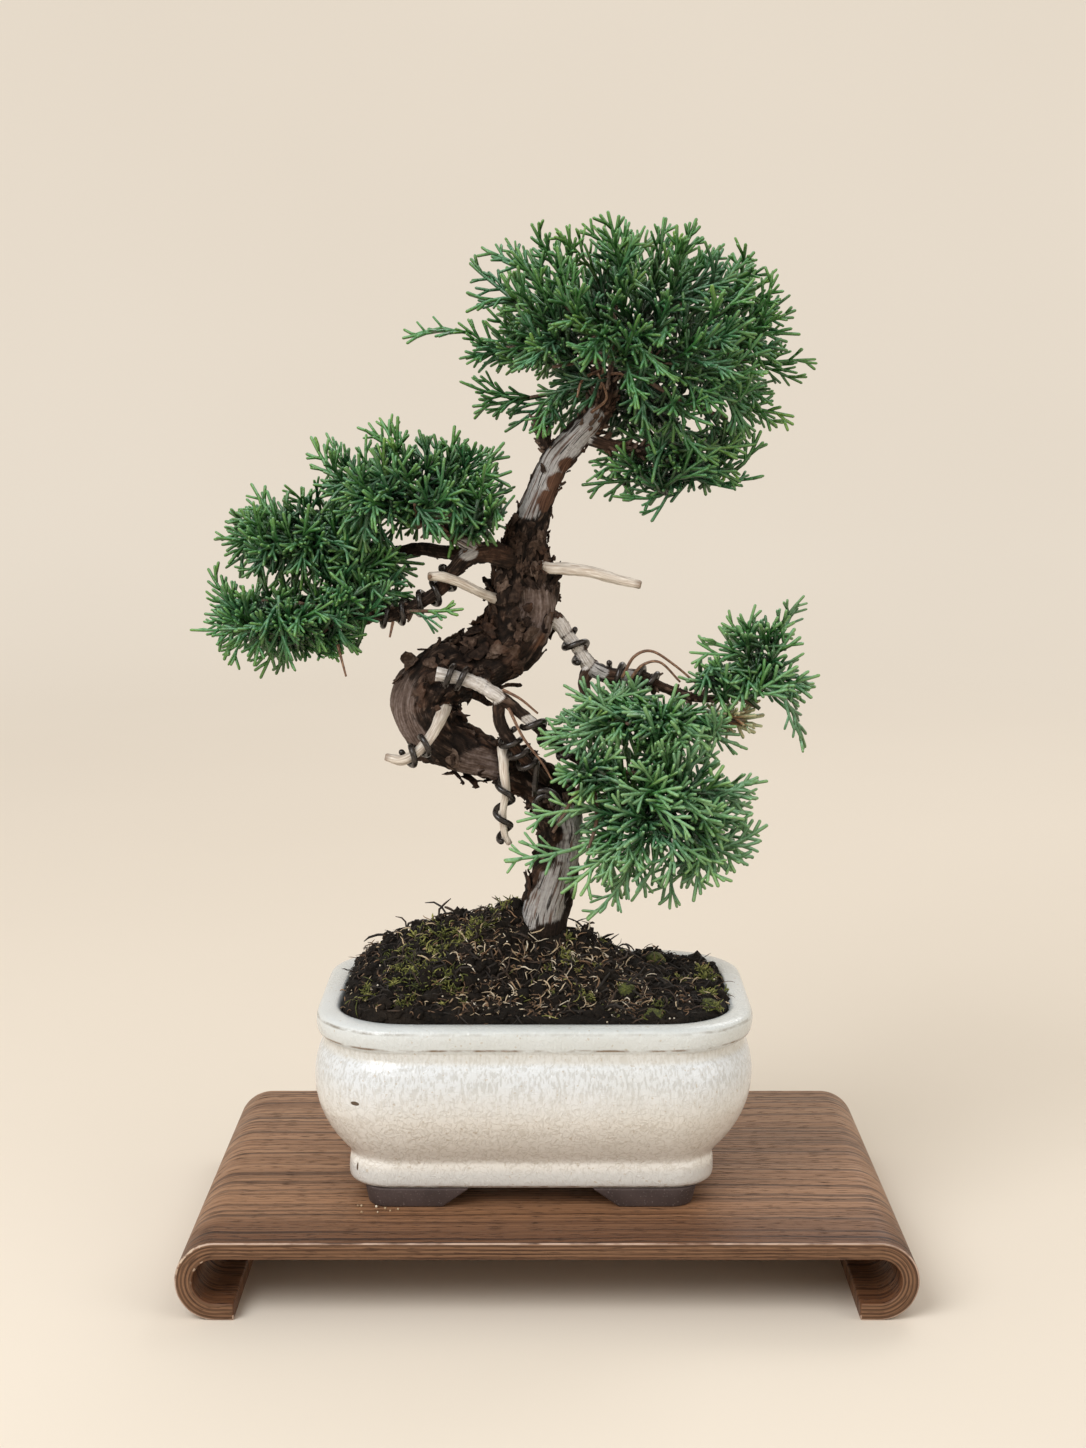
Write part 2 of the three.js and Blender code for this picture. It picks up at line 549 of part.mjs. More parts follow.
// One spray as a closed skin: a three-sided midrib from its root to its tip, with a pointed
// needle drawn out of its left and its right face at each pair of rings
function spraySkin(rings, tip, needles) {
  const points = rings.flat();
  const faces = [[2, 1, 0]];
  for (let ring = 0; ring < rings.length - 1; ring += 1) {
    for (let face = 0; face < 3; face += 1) {
      const [low, lowNext] = [ring * 3 + face, ring * 3 + (face + 1) % 3];
      const [high, highNext] = [low + 3, lowNext + 3];
      const end = needles.get(`${ring} ${face}`);
      if (end) {
        const apex = points.push(end) - 1;
        faces.push([low, lowNext, apex], [lowNext, highNext, apex]);
        faces.push([highNext, high, apex], [high, low, apex]);
      } else {
        faces.push([low, lowNext, highNext], [low, highNext, high]);
      }
    }
  }
  const apex = points.push(tip) - 1;
  const last = (rings.length - 1) * 3;
  faces.push([last, last + 1, apex], [last + 1, last + 2, apex], [last + 2, last, apex]);
  const geometry = new THREE.BufferGeometry().setFromPoints(points);
  geometry.setIndex(faces.flat());
  return geometry;
}

// The three corners of a midrib at one place: one towards the front, two behind it
function midribRing(centre, heading, facing, radius) {
  const front = carried(facing, heading);
  const side = heading.clone().cross(front);
  return [0, 1, 2].map((corner) => {
    const angle = corner * 2 * Math.PI / 3;
    return centre.clone()
      .addScaledVector(front, radius * Math.cos(angle))
      .addScaledVector(side, radius * Math.sin(angle));
  });
}

// The line of a spray's midrib: it leaves along the limb, turns to its tip, and keeps clear
function midrib(owner, { root, lean, limb }, tip, number) {
  const length = root.distanceTo(tip);
  const toTip = tip.clone().sub(root).normalize();
  const leaving = toTip.clone().multiplyScalar(0.8).addScaledVector(lean, 0.6).normalize();
  const others = (other) => other.owner !== owner;
  const notItsLimb = (other) => others(other) || other.part !== limb;
  const first = bentClear(root.clone().addScaledVector(leaving, length * 0.35), notItsLimb);
  const second = bentClear(first.clone().lerp(tip, 0.5).addScaledVector(leaving, length * 0.04), notItsLimb);
  const line = lineThrough([root, first, second, tip].map((point) => [...point.toArray(), TWIG.radius]));
  const part = `spray ${number}`;
  for (let i = 4; i <= 16; i += 1) {
    if (tightest(line.at((i / 16) * line.last), others).room < TWIG.radius + GAP) return null;
  }
  takeLine(line, 6, 0, owner, part);
  return { owner, part, line, length, tip, number };
}

function spray({ owner, part, line, length, tip, number }) {
  const facing = new THREE.Vector3(draw(number) - 0.5, -0.9, draw(number + 0.5) - 0.5).normalize();
  const rings = [midribRing(line.at(0), line.heading(0), facing, TWIG.root)];
  const needles = new Map();
  for (let pair = 0; pair < SPRAY.pairs; pair += 1) {
    const share = THREE.MathUtils.lerp(SPRAY.first, SPRAY.last, pair / (SPRAY.pairs - 1));
    const radius = TWIG.radius * (1 - 0.4 * share);
    const place = share * line.last;
    const heading = line.heading(place);
    const halfBase = 0.5 * TWIG.base / length * line.last;
    for (const at of [place - halfBase, place + halfBase]) {
      rings.push(midribRing(line.at(at), line.heading(at), facing, radius));
    }
    const front = carried(facing, heading);
    const side = heading.clone().cross(front);
    const base = line.at(place);
    for (const [face, sign] of [[0, 1], [2, -1]]) {
      const seed = number * 5 + pair * 2 + face;
      const outwards = front.clone().multiplyScalar(0.5 * draw(seed) - 0.1);
      const direction = heading.clone().multiplyScalar(0.75)
        .addScaledVector(side, sign * SPRAY.spread).add(outwards).normalize();
      const reach = length * SPRAY.length * (1 - SPRAY.taper * share) * (0.85 + 0.3 * draw(seed + 0.3));
      const end = base.clone().addScaledVector(direction, Math.min(reach, SPRAY.longest));
      if (isClear(base, end, owner, part)) {
        needles.set(`${rings.length - 2} ${face}`, end);
        take(base, end, TWIG.radius * 0.6, owner, part);
      }
    }
  }
  return solidOf(spraySkin(rings, tip, needles));
}

// The limb point that a spray to this tip grows from: about one spray's reach away, and
// not where others already grow
function rootFor(tip, limbs, roots) {
  let best = null;
  for (const { line, part } of limbs) {
    for (let i = 1; i <= 8; i += 1) {
      const place = (i / 8) * line.last;
      const root = line.at(place);
      const neighbours = roots.filter((other) => other.distanceTo(root) < SPRAY.rootRoom).length;
      const misfit = Math.abs(root.distanceTo(tip) - SPRAY.reach) + SPRAY.rootRoom * neighbours;
      if (!best || misfit < best.misfit) best = { misfit, root, lean: line.heading(place), limb: part };
    }
  }
  roots.push(best.root);
  return best;
}

// Tips spread evenly over the front and back of a tier's dome
function domeTips({ centre, half, count, lowest }) {
  const tips = [];
  for (let k = 0; k < count; k += 1) {
    const y = 1 - 2 * (k + 0.5) / count;
    const turn = k * Math.PI * (3 - Math.sqrt(5));
    const round = Math.sqrt(1 - y * y);
    const direction = [round * Math.cos(turn), y, round * Math.sin(turn)];
    if (Math.abs(y) < 0.3 || direction[2] < lowest) continue;
    const size = 0.88 + 0.12 * draw(k + count);
    tips.push(direction.map((part, axis) => centre[axis] + part * half[axis] * size));
  }
  return tips;
}

function buildTier(name, tier, wood, color) {
  const knot = new THREE.IcosahedronGeometry(tier.knot, 0);
  knot.translate(...tier.hub);
  const solids = [solidOf(knot)];
  const limbs = tier.limbs.map((route, number) => {
    const points = [tier.hub, ...route].map((point) => [...point, TWIG.limb]);
    const line = lineThrough(points);
    solids.push(solidOf(stem(points, 4, 1 + route.length)));
    const part = `limb ${number}`;
    takeLine(line, 4, 0, name, part);
    return { line, part };
  });
  const tips = [...tier.tips, ...domeTips(tier.dome)].map(vector);
  const roots = [];
  const ribs = tips.map((tip, number) => midrib(name, rootFor(tip, limbs, roots), tip, number));
  solids.push(...ribs.filter((rib) => rib !== null).map(spray));
  return meshOf(name, largestBody(join(solids).subtract(wood)), color, 0.6);
}

// Wires

// The spare end of the inner twig's wire, rolled flat in front of the trunk
const COIL = { centre: [-0.5, -17, 159], turns: 1.4, start: 0.375, outer: 5.2, inner: 2.6 };

// A circle to draw along a wire's route
function roundSection(radius, sides) {
  const section = new THREE.Shape();
  for (let i = 0; i < sides; i += 1) {
    const angle = (i / sides) * 2 * Math.PI;
    const [x, y] = [radius * Math.cos(angle), radius * Math.sin(angle)];
    if (i === 0) section.moveTo(x, y);
    else section.lineTo(x, y);
  }
  section.closePath();
  return section;
}

function windingPoints({ on, from, to, turns, start }) {
  const line = lineThrough(on);
  const steps = Math.round(turns * WIRE.stepsPerTurn);
  const points = [];
  let side = FIRST_SIDE;
  for (let i = 0; i <= steps; i += 1) {
    const place = THREE.MathUtils.lerp(from, to, i / steps);
    const heading = line.heading(place);
    side = carried(side, heading);
    const angle = (start + turns * i / steps) * 2 * Math.PI;
    const reach = line.radius(place) + WIRE.radius + WIRE.clear;
    points.push(line.at(place)
      .addScaledVector(side, reach * Math.sin(angle))
      .addScaledVector(heading.clone().cross(side), reach * Math.cos(angle)));
  }
  return points;
}

function coilPoints() {
  const points = [];
  const steps = Math.round(COIL.turns * WIRE.stepsPerTurn);
  for (let i = 0; i <= steps; i += 1) {
    const angle = (COIL.start - COIL.turns * i / steps) * 2 * Math.PI;
    const reach = THREE.MathUtils.lerp(COIL.outer, COIL.inner, i / steps);
    const offset = new THREE.Vector3(reach * Math.cos(angle), 0, reach * Math.sin(angle));
    points.push(vector(COIL.centre).add(offset));
  }
  return points;
}

function wireSolid(points, grow) {
  const route = new THREE.CatmullRomCurve3(points, false, 'catmullrom', 0.5);
  return solidOf(new THREE.ExtrudeGeometry(roundSection(WIRE.radius + grow, WIRE.sides), {
    steps: points.length - 1, extrudePath: route, bevelEnabled: false,
  }));
}

function wirePoints(wire) {
  return wire.coil ? [...windingPoints(wire), ...coilPoints()] : windingPoints(wire);
}

const wood = stemsOf(0);
const woodRoom = stemsOf(GAP);
for (const points of [TRUNK, ...Object.values(BRANCHES), ...Object.values(STUBS)]) {
  takeLine(lineThrough(points), points.length * 2, 0.4, 'tree_wood');
}
// The hole in the soil follows the foot of the trunk, a little wider than its bark
const plugLine = TRUNK.slice(0, 4).map(([x, y, z, radius]) => [x, y, z, radius + 2 * GAP]);
plugLine[0][2] -= GAP;

const tree = new THREE.Group();
tree.add(buildStand());
tree.add(buildPot());
tree.add(buildDrainScreen('drain_screen_left', -1));
tree.add(buildDrainScreen('drain_screen_right', 1));
tree.add(buildSoil(solidOf(stem(plugLine, 14, 8))));
tree.add(meshOf('tree_wood', wood, COLORS.bark, 0.9));
let room = woodRoom;
for (const [name, wire] of Object.entries(WIRES)) {
  const points = wirePoints(wire);
  const solid = largestBody(wireSolid(points, 0).subtract(woodRoom));
  tree.add(meshOf(name, solid, COLORS.wire, 0.45, 0.6));
  room = room.add(wireSolid(points, GAP));
  for (let i = 1; i < points.length; i += 1) take(points[i - 1], points[i], WIRE.radius, name);
}
for (const [name, tier] of Object.entries(TIERS)) {
  const color = name === 'foliage_dead' ? COLORS.deadLeaf : COLORS.leaf;
  tree.add(buildTier(name, tier, room, color));
}

export default tree;
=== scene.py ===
import math
import random

import bmesh
import bpy
import numpy as np
from mathutils import Matrix, Vector, noise
from mathutils.bvhtree import BVHTree
from mathutils.kdtree import KDTree


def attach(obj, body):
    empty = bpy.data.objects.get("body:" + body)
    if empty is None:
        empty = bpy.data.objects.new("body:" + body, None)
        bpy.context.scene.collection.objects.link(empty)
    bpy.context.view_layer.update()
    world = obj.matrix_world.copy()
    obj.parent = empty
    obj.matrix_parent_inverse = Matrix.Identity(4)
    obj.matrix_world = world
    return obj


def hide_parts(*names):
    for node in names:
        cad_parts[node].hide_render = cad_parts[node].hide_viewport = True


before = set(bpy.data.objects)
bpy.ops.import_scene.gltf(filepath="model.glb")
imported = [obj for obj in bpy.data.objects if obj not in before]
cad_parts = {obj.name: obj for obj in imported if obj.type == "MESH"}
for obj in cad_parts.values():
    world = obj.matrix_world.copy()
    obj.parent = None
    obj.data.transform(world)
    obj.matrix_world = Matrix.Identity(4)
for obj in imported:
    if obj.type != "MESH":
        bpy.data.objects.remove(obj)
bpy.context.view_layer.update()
scene = bpy.context.scene
scene.view_settings.view_transform = "Standard"


# The view: a long lens in front of the tree, level with the bend of its trunk, that looks
# slightly down on the pot and the stand.
camera = bpy.data.objects.new("camera", bpy.data.cameras.new("camera"))
camera.data.lens = 54
camera.data.sensor_width = 36
camera.location = (-0.0013, -0.7492, 0.2956)
camera.rotation_euler = (math.radians(90 - 8.44), 0, 0)
scene.collection.objects.link(camera)
scene.camera = camera


# The room: pale paper that lies flat under the stand and sweeps up all round it, with a
# large soft lamp at the upper left, a weaker one on the right, and an even pale sky. From a
# third of a metre out the paper glows, a painted light, and is darker in its own colour there.
def link_piece(name, shape, material):
    """A piece from a bmesh in millimetres, at the origin, in metres."""
    bmesh.ops.scale(shape, vec=(0.001, 0.001, 0.001), verts=shape.verts)
    mesh = bpy.data.meshes.new(name)
    shape.to_mesh(mesh)
    shape.free()
    mesh.shade_smooth()
    mesh.materials.append(material)
    piece = bpy.data.objects.new(name, mesh)
    scene.collection.objects.link(piece)
    return piece


class Shade:
    """A value or colour inside a material; reckoning with it adds the nodes for that."""

    def __init__(self, socket):
        self.socket = socket
        self.tree = socket.id_data

    def __add__(self, other):
        return self.math("ADD", other)

    def __sub__(self, other):
        return self.math("SUBTRACT", other)

    def __mul__(self, other):
        return self.math("MULTIPLY", other)

    def math(self, operation, *others):
        inputs = dict(enumerate((self, *others)))
        return add_node(self.tree, "ShaderNodeMath", inputs, operation=operation)

    def vector(self, operation, other=(0, 0, 0), output="Vector"):
        return add_node(self.tree, "ShaderNodeVectorMath", {0: self, 1: other}, output, operation=operation)

    def axis(self, name):
        return add_node(self.tree, "ShaderNodeSeparateXYZ", {0: self}, name)

    def stretched(self, stretch, turn=(0, 0, 0)):
        return add_node(self.tree, "ShaderNodeMapping", {"Vector": self, "Scale": stretch, "Rotation": turn})

    def between(self, low, high, first=0, last=1):
        """A share that runs from first to last while the value runs from low to high."""
        return add_node(self.tree, "ShaderNodeMapRange", {
            "Value": self, "From Min": low, "From Max": high, "To Min": first, "To Max": last,
        })

    def ramp(self, *stops):
        """The colour that the value picks from stops of (place, red, green, blue)."""
        color = add_node(self.tree, "ShaderNodeValToRGB", {"Fac": self})
        elements = color.socket.node.color_ramp.elements
        for index, (place, *parts) in enumerate(stops):
            element = elements[index] if index < 2 else elements.new(place)
            element.position = place
            element.color = (*parts, 1)
        return color

    def patches(self, scale, low, high, detail):
        """Soft patches of noise at a place: a mask that rises from a low to a high limit."""
        return add_node(self.tree, "ShaderNodeGroup", {
            "Vector": self, "Scale": scale, "Low": low, "High": high, "Detail": detail,
        }, node_tree=patch_group)


def add_node(tree, kind, inputs=(), output=0, **settings):
    """One output of a new node, whose inputs are linked to shades or set to values."""
    node = tree.nodes.new(kind)
    for key, value in settings.items():
        setattr(node, key, value)
    for socket, value in dict(inputs).items():
        if isinstance(value, Shade):
            tree.links.new(value.socket, node.inputs[socket])
        else:
            node.inputs[socket].default_value = value
    return Shade(node.outputs[output])


def mix(first, second, share, blend="MIX"):
    """The second colour laid over the first one, or multiplied into it, to some share."""
    factor_socket, first_socket, second_socket, result = 0, 6, 7, 2
    first, second = (color if isinstance(color, Shade) else (*color, 1) for color in (first, second))
    inputs = {factor_socket: share, first_socket: first, second_socket: second}
    return add_node(share.tree, "ShaderNodeMix", inputs, result, data_type="RGBA", blend_type=blend)


def start_material(name, constants):
    """A new material with constant values on its surface, and its node tree."""
    material = bpy.data.materials.new(name)
    material.use_nodes = True
    surface = material.node_tree.nodes["Principled BSDF"]
    for label, value in constants.items():
        surface.inputs[label].default_value = value
    return material, material.node_tree


def finish_material(material, color, height=None, distance=0, strength=0, **more):
    """Links a material's colour, its bump from a height, and other values to its surface."""
    tree, links = material.node_tree, {"Base Color": color, **more}
    if height:
        links["Normal"] = add_node(tree, "ShaderNodeBump", {
            "Height": height, "Distance": distance, "Strength": strength,
        })
    for label, value in links.items():
        tree.links.new(value.socket, tree.nodes["Principled BSDF"].inputs[label])
    return material


def object_place(tree, stretch=(1, 1, 1), turn=(0, 0, 0)):
    return add_node(tree, "ShaderNodeTexCoord", output="Object").stretched(stretch, turn)


def read_attribute(tree, name, output="Fac"):
    return add_node(tree, "ShaderNodeAttribute", output=output, attribute_name=name)


def build_patches():
    """Soft patches of noise between a low and a high limit, for every mottled surface."""
    group = bpy.data.node_groups.new("patches", "ShaderNodeTree")
    group.interface.new_socket("Vector", in_out="INPUT", socket_type="NodeSocketVector")
    for label, value in (("Scale", 50), ("Detail", 4), ("Low", 0.4), ("High", 0.6)):
        socket = group.interface.new_socket(label, in_out="INPUT", socket_type="NodeSocketFloat")
        socket.default_value = value
    group.interface.new_socket("Mask", in_out="OUTPUT", socket_type="NodeSocketFloat")
    given = group.nodes.new("NodeGroupInput").outputs
    place, scale, detail, low, high = (
        Shade(given[label]) for label in ("Vector", "Scale", "Detail", "Low", "High"))
    cloud = add_node(group, "ShaderNodeTexNoise", {"Vector": place, "Scale": scale, "Detail": detail}, "Fac")
    mask = cloud.between(low, high)
    group.links.new(mask.socket, group.nodes.new("NodeGroupOutput").inputs["Mask"])
    return group


def build_room():
    flat, sweep, wall, sweep_steps = 1500, 700, 2600, 12
    paper = bmesh.new()
    edge = [paper.verts.new((x, 0, 0)) for x in (0, 200, flat)]
    for step in range(1, sweep_steps + 1):
        angle = step / sweep_steps * math.pi / 2
        edge.append(paper.verts.new((flat + sweep * math.sin(angle), 0, sweep * (1 - math.cos(angle)))))
    edge.append(paper.verts.new((flat + sweep, 0, wall)))
    profile = edge + [paper.edges.new(pair) for pair in zip(edge, edge[1:])]
    bmesh.ops.spin(
        paper, geom=profile, cent=(0, 0, 0), axis=(0, 0, 1), angle=math.tau, steps=96, use_merge=True,
    )
    bmesh.ops.remove_doubles(paper, verts=paper.verts, dist=0.01)
    material, tree = start_material("backdrop_paper", {
        "Roughness": 0.9, "Emission Strength": 0.745, "Specular IOR Level": 0.1,
    })
    place = object_place(tree)
    tint = place.patches(1.5, 0.3, 0.7, 3).ramp((0, 0.775, 0.70, 0.60), (1, 0.795, 0.72, 0.62))
    # Painted light: the paper glows more and more from 0.35 m out to 1.9 m from the middle, and its own
    # colour darkens as it does
    glow = place.vector("LENGTH", output="Value").between(0.35, 1.9)
    black = (0, 0, 0)
    glowing = {"Emission Color": mix(black, tint, glow)}
    finish_material(material, mix(tint, black, glow * 0.7), **glowing)
    link_piece("backdrop", paper, material)


def hang_lamp(name, place, target, size, power, color):
    lamp = bpy.data.objects.new(name, bpy.data.lights.new(name, "AREA"))
    lamp.data.shape = "DISK"
    lamp.data.size = size
    lamp.data.energy = power
    lamp.data.color = color
    lamp.location = place
    lamp.rotation_euler = (Vector(target) - Vector(place)).to_track_quat("-Z", "Y").to_euler()
    scene.collection.objects.link(lamp)


patch_group = build_patches()
build_room()
hang_lamp("key_lamp", (-0.8, -0.95, 1.15), (0, 0, 0.17), 1.1, 18, (0.95, 0.97, 1))
hang_lamp("fill_lamp", (1.2, -0.8, 0.7), (0, 0, 0.15), 1.0, 3.6, (0.96, 0.975, 1))
hang_lamp("rim_lamp", (0.6, 1.1, 1.2), (0, 0, 0.2), 0.8, 4.4, (0.97, 0.98, 1))
scene.world = bpy.data.worlds.new("sky")
scene.world.use_nodes = True
sky = scene.world.node_tree.nodes["Background"]
sky.inputs["Color"].default_value = (0.96, 0.98, 1, 1)
sky.inputs["Strength"].default_value = 0.54


# The display stand: one sheet of walnut-faced plywood, bent over at both ends into a roll
# that turns back under it, with sawn edges that show its layers. It is oiled to a satin.
def turn_outward(shape):
    bmesh.ops.recalc_face_normals(shape, faces=shape.faces)
    return shape


def round_arrises(shape, least_angle, reach):
    """Rounds every edge that turns more sharply than an angle, in radians."""
    sharp = [edge for edge in shape.edges if edge.calc_face_angle(0) > least_angle]
    return bmesh.ops.bevel(
        shape, geom=sharp, offset=reach, offset_type="OFFSET", segments=3, profile=0.5,
        affect="EDGES", material=-1,
    )


def bend_stand():
    width, depth, height, ply, lip = 242, 158, 26.3, 5.8, 6
    bend = height / 2
    bend_x = width / 2 - bend
    stand = bmesh.new()
    arris = stand.verts.layers.float.new("arris")
    start = -(bend_x - lip)
    corners = [stand.verts.new((start, y, z)) for y, z in (
        (-depth / 2, 0), (depth / 2, 0), (depth / 2, ply), (-depth / 2, ply))]
    rim = [stand.edges.new((corners[i], corners[(i + 1) % 4])) for i in range(4)]

    def pull(edges, distance, steps):
        for _ in range(steps):
            drawn = bmesh.ops.extrude_edge_only(stand, edges=edges)["geom"]
            moved = [item for item in drawn if isinstance(item, bmesh.types.BMVert)]
            bmesh.ops.translate(stand, vec=(distance / steps, 0, 0), verts=moved)
            edges = [item for item in drawn if isinstance(item, bmesh.types.BMEdge)
                     and all(vert in moved for vert in item.verts)]
        return edges

    def roll(edges, side):
        ends = list(dict.fromkeys(vert for edge in edges for vert in edge.verts))
        turned = bmesh.ops.spin(
            stand, geom=ends + edges, cent=(side * bend_x, 0, bend), axis=(0, 1, 0),
            angle=math.pi, steps=32,
        )["geom_last"]
        return [item for item in turned if isinstance(item, bmesh.types.BMEdge)]

    edges = pull(rim, -lip, 2)
    edges = roll(edges, -1)
    edges = pull(edges, 2 * bend_x, 40)
    edges = roll(edges, 1)
    pull(edges, -lip, 2)
    bmesh.ops.holes_fill(stand, edges=stand.edges, sides=4)
    rounded = round_arrises(turn_outward(stand), 1, 0.7)
    curved = set(rounded["faces"])
    for vert in rounded["verts"]:
        vert[arris] = all(face in curved for face in vert.link_faces)
    along = stand.loops.layers.uv.new("along")
    layer = stand.verts.layers.float.new("layer")
    middle = bend - ply / 2

    def place_in_sheet(x, z):
        """How far along the sheet a point is, and how deep under its upper face."""
        if abs(x) <= bend_x:
            if z > bend:
                return x, height - z
            return math.copysign(bend_x + math.pi * middle + bend_x - abs(x), x), z
        angle = math.atan2(abs(x) - bend_x, z - bend)
        reach = math.hypot(abs(x) - bend_x, z - bend)
        return math.copysign(bend_x + angle * middle, x), bend - reach

    for vert in stand.verts:
        vert[layer] = place_in_sheet(vert.co.x, vert.co.z)[1] / ply
    for face in stand.faces:
        for loop in face.loops:
            place = loop.vert.co
            loop[along].uv = (place_in_sheet(place.x, place.z)[0] / 1000, place.y / 1000)
    return stand


def walnut_veneer():
    material, tree = start_material("walnut_veneer", {"Roughness": 0.42, "Specular IOR Level": 0.26})
    run = add_node(tree, "ShaderNodeUVMap", uv_map="along")
    wave = add_node(tree, "ShaderNodeTexNoise", {"Vector": run, "Scale": 11, "Detail": 2}, "Color")
    swayed = run.vector("ADD", wave.vector("MULTIPLY", (0, 0.009, 0)))

    def grain_mask(stretch, low, high, detail, place=swayed):
        return place.stretched((*stretch, 1)).patches(1, low, high, detail)

    figure = grain_mask((1.6, 130), 0.25, 0.75, 4)
    lines = grain_mask((4, 620), 0.47, 0.66, 3)
    threads = grain_mask((13, 1500), 0.36, 0.66, 4)
    pores = grain_mask((150, 1700), 0.57, 0.66, 3)
    face = figure.ramp((0, 0.155, 0.068, 0.033), (0.5, 0.245, 0.120, 0.060), (1, 0.34, 0.18, 0.095))
    face = mix(face, (0.46, 0.26, 0.14), threads * 0.55)
    face = mix(face, (0.055, 0.022, 0.011), lines * 0.92)
    face = mix(face, (0.030, 0.012, 0.006), pores * 0.85)
    place = object_place(tree)
    # Painted shade: the front strip of the stand, 4 to 7.5 cm in front of its middle, is multiplied darker
    near = place.axis("Y").between(-0.04, -0.075)
    face = mix(face, (0.34, 0.25, 0.20), near * 0.85, "MULTIPLY")

    depth, layers, ply = read_attribute(tree, "layer"), 9, 0.0058
    sheet = add_node(tree, "ShaderNodeCombineXYZ", {"X": run.axis("X"), "Y": depth * ply})
    uneven = grain_mask((30, 300), 0.2, 0.8, 3, sheet)
    sawn = (depth * layers + uneven * 0.9).math("PINGPONG", 1).ramp(
        (0, 0.022, 0.009, 0.005), (0.3, 0.07, 0.032, 0.016), (0.8, 0.15, 0.073, 0.038), (1, 0.24, 0.13, 0.07))
    sawn = mix(sawn, (0.26, 0.145, 0.08), grain_mask((22, 2300), 0.36, 0.64, 4, sheet) * 0.45)
    sawn = mix(sawn, (0.035, 0.015, 0.008), grain_mask((150, 2600), 0.55, 0.64, 3, sheet) * 0.7)
    across = add_node(tree, "ShaderNodeNewGeometry", output="Normal").axis("Y")
    color = mix(face, sawn, across.math("ABSOLUTE").math("GREATER_THAN", 0.85))

    arris = read_attribute(tree, "arris")
    patchy = object_place(tree, (0.4, 1, 1)).patches(260, 0.36, 0.56, 5)
    # Paler in patches along the upper arrises: wear, and a painted highlight along the arris
    worn = arris.between(0.3, 0.8) * depth.math("LESS_THAN", 0.3) * (patchy * 0.75 + 0.15)
    color = mix(color, (0.52, 0.38, 0.30), worn)
    front_left_corner = (-0.1165, -0.079, 0.022)
    chips = place.vector("DISTANCE", front_left_corner, "Value").between(0.010, 0.004)
    chips = chips * arris.math("GREATER_THAN", 0.05) * place.patches(420, 0.5, 0.53, 2)
    color = mix(color, (0.52, 0.40, 0.30), chips)
    roughness = figure.between(0, 1, 0.5, 0.36) + pores * 0.3
    return finish_material(material, color, threads * 0.4 - pores, 0.0002, 0.7, Roughness=roughness)


stand = link_piece("stand_sheet", bend_stand(), walnut_veneer())
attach(stand, "root")
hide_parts("display_stand")


# The pot: one slip-cast oval-cornered body with a rolled rim and a base band, dipped in a
# creamy glaze that runs thin and brown over its arrises and is bluish white above its belly.
# Its neck under the rim is painted darker and warmer, a painted shade of the rim.
POT_CENTRE, POT_LEAN, POT_LEAN_FROM = -4.75, 0.023, 61.5
# Half width, half depth, corner radius and height: up the outside, over the rim, down the inside
POT_RINGS = [
    (60.6, 46.2, 14, 32.7), (62, 47.6, 15, 33.6), (62.5, 48.1, 15.5, 35.2), (62.4, 48, 15.5, 39.4),
    (62.1, 47.8, 15.6, 40.8), (61.9, 47.5, 16.5, 42), (63.4, 48.3, 18.5, 43.8), (67, 50.7, 22, 47),
    (70.9, 53.6, 26, 52), (74.1, 56.2, 29, 58.8), (75.4, 57.2, 31, 66), (75.2, 56.9, 31, 72),
    (74.2, 56, 31, 76),
    (73, 54.9, 30, 78), (72.3, 54.1, 30, 79), (72.2, 54, 30, 81.2), (73.2, 54, 30, 81.9),
    (74.5, 54.5, 30, 82.6),
    (75.1, 55, 30, 86), (75, 54.9, 30, 88.9), (73.6, 53.4, 29, 90.3), (68.8, 48.6, 26, 90.7),
    (66.6, 46, 25, 89.7),
    (66.2, 45.6, 25, 80), (69, 50.6, 26, 67), (67, 49, 24, 52), (59.5, 43.4, 15, 44), (56, 41, 13, 39),
]
POT_INSIDE = 22
# The rings where the glaze has run thin or worn through to the clay
POT_WORN = (1, 17, 19)
# Two pits in the glaze: the middle, how much flatter or narrower than round, and the reach
POT_PITS = [
    ((-0.0641, -0.0533, 0.0646), (1, 1, 2.4), 0.0021), ((-0.0643, -0.042, 0.039), (2.4, 2.4, 0.8), 0.0015),
]


def rounded_ring(half_x, half_y, corner, z, corner_steps=8, side_steps=6):
    """Points round a rectangle with round corners, counter-clockwise from above."""
    ring = []
    signs = ((1, 1), (-1, 1), (-1, -1), (1, -1))
    middle = POT_CENTRE + POT_LEAN * (z - POT_LEAN_FROM)

    def corner_point(sign_x, sign_y, angle):
        centre = Vector((middle + sign_x * (half_x - corner), sign_y * (half_y - corner), z))
        return centre + Vector((corner * math.cos(angle), corner * math.sin(angle), 0))

    for quarter, signs_here in enumerate(signs):
        for step in range(corner_steps + 1):
            ring.append(corner_point(*signs_here, (quarter + step / corner_steps) * math.pi / 2))
        end = corner_point(*signs[(quarter + 1) % 4], (quarter + 1) * math.pi / 2)
        ring += [ring[-1].lerp(end, step / side_steps) for step in range(1, side_steps)]
    return ring


def loft(shape, rings):
    """Walls through rings of points, each ring pulled out of the one before it."""
    verts = [shape.verts.new(point) for point in rings[0]]
    drawn_rings = [verts]
    for ring in rings[1:]:
        edges = [shape.edges.get((verts[i - 1], verts[i])) or shape.edges.new((verts[i - 1], verts[i]))
                 for i in range(len(verts))]
        drawn = bmesh.ops.extrude_edge_only(shape, edges=edges)["geom"]
        fresh = {item for item in drawn if isinstance(item, bmesh.types.BMVert)}
        verts = [next(edge.other_vert(vert) for edge in vert.link_edges if edge.other_vert(vert) in fresh)
                 for vert in verts]
        for vert, point in zip(verts, ring):
            vert.co = point
        drawn_rings.append(verts)
    return drawn_rings


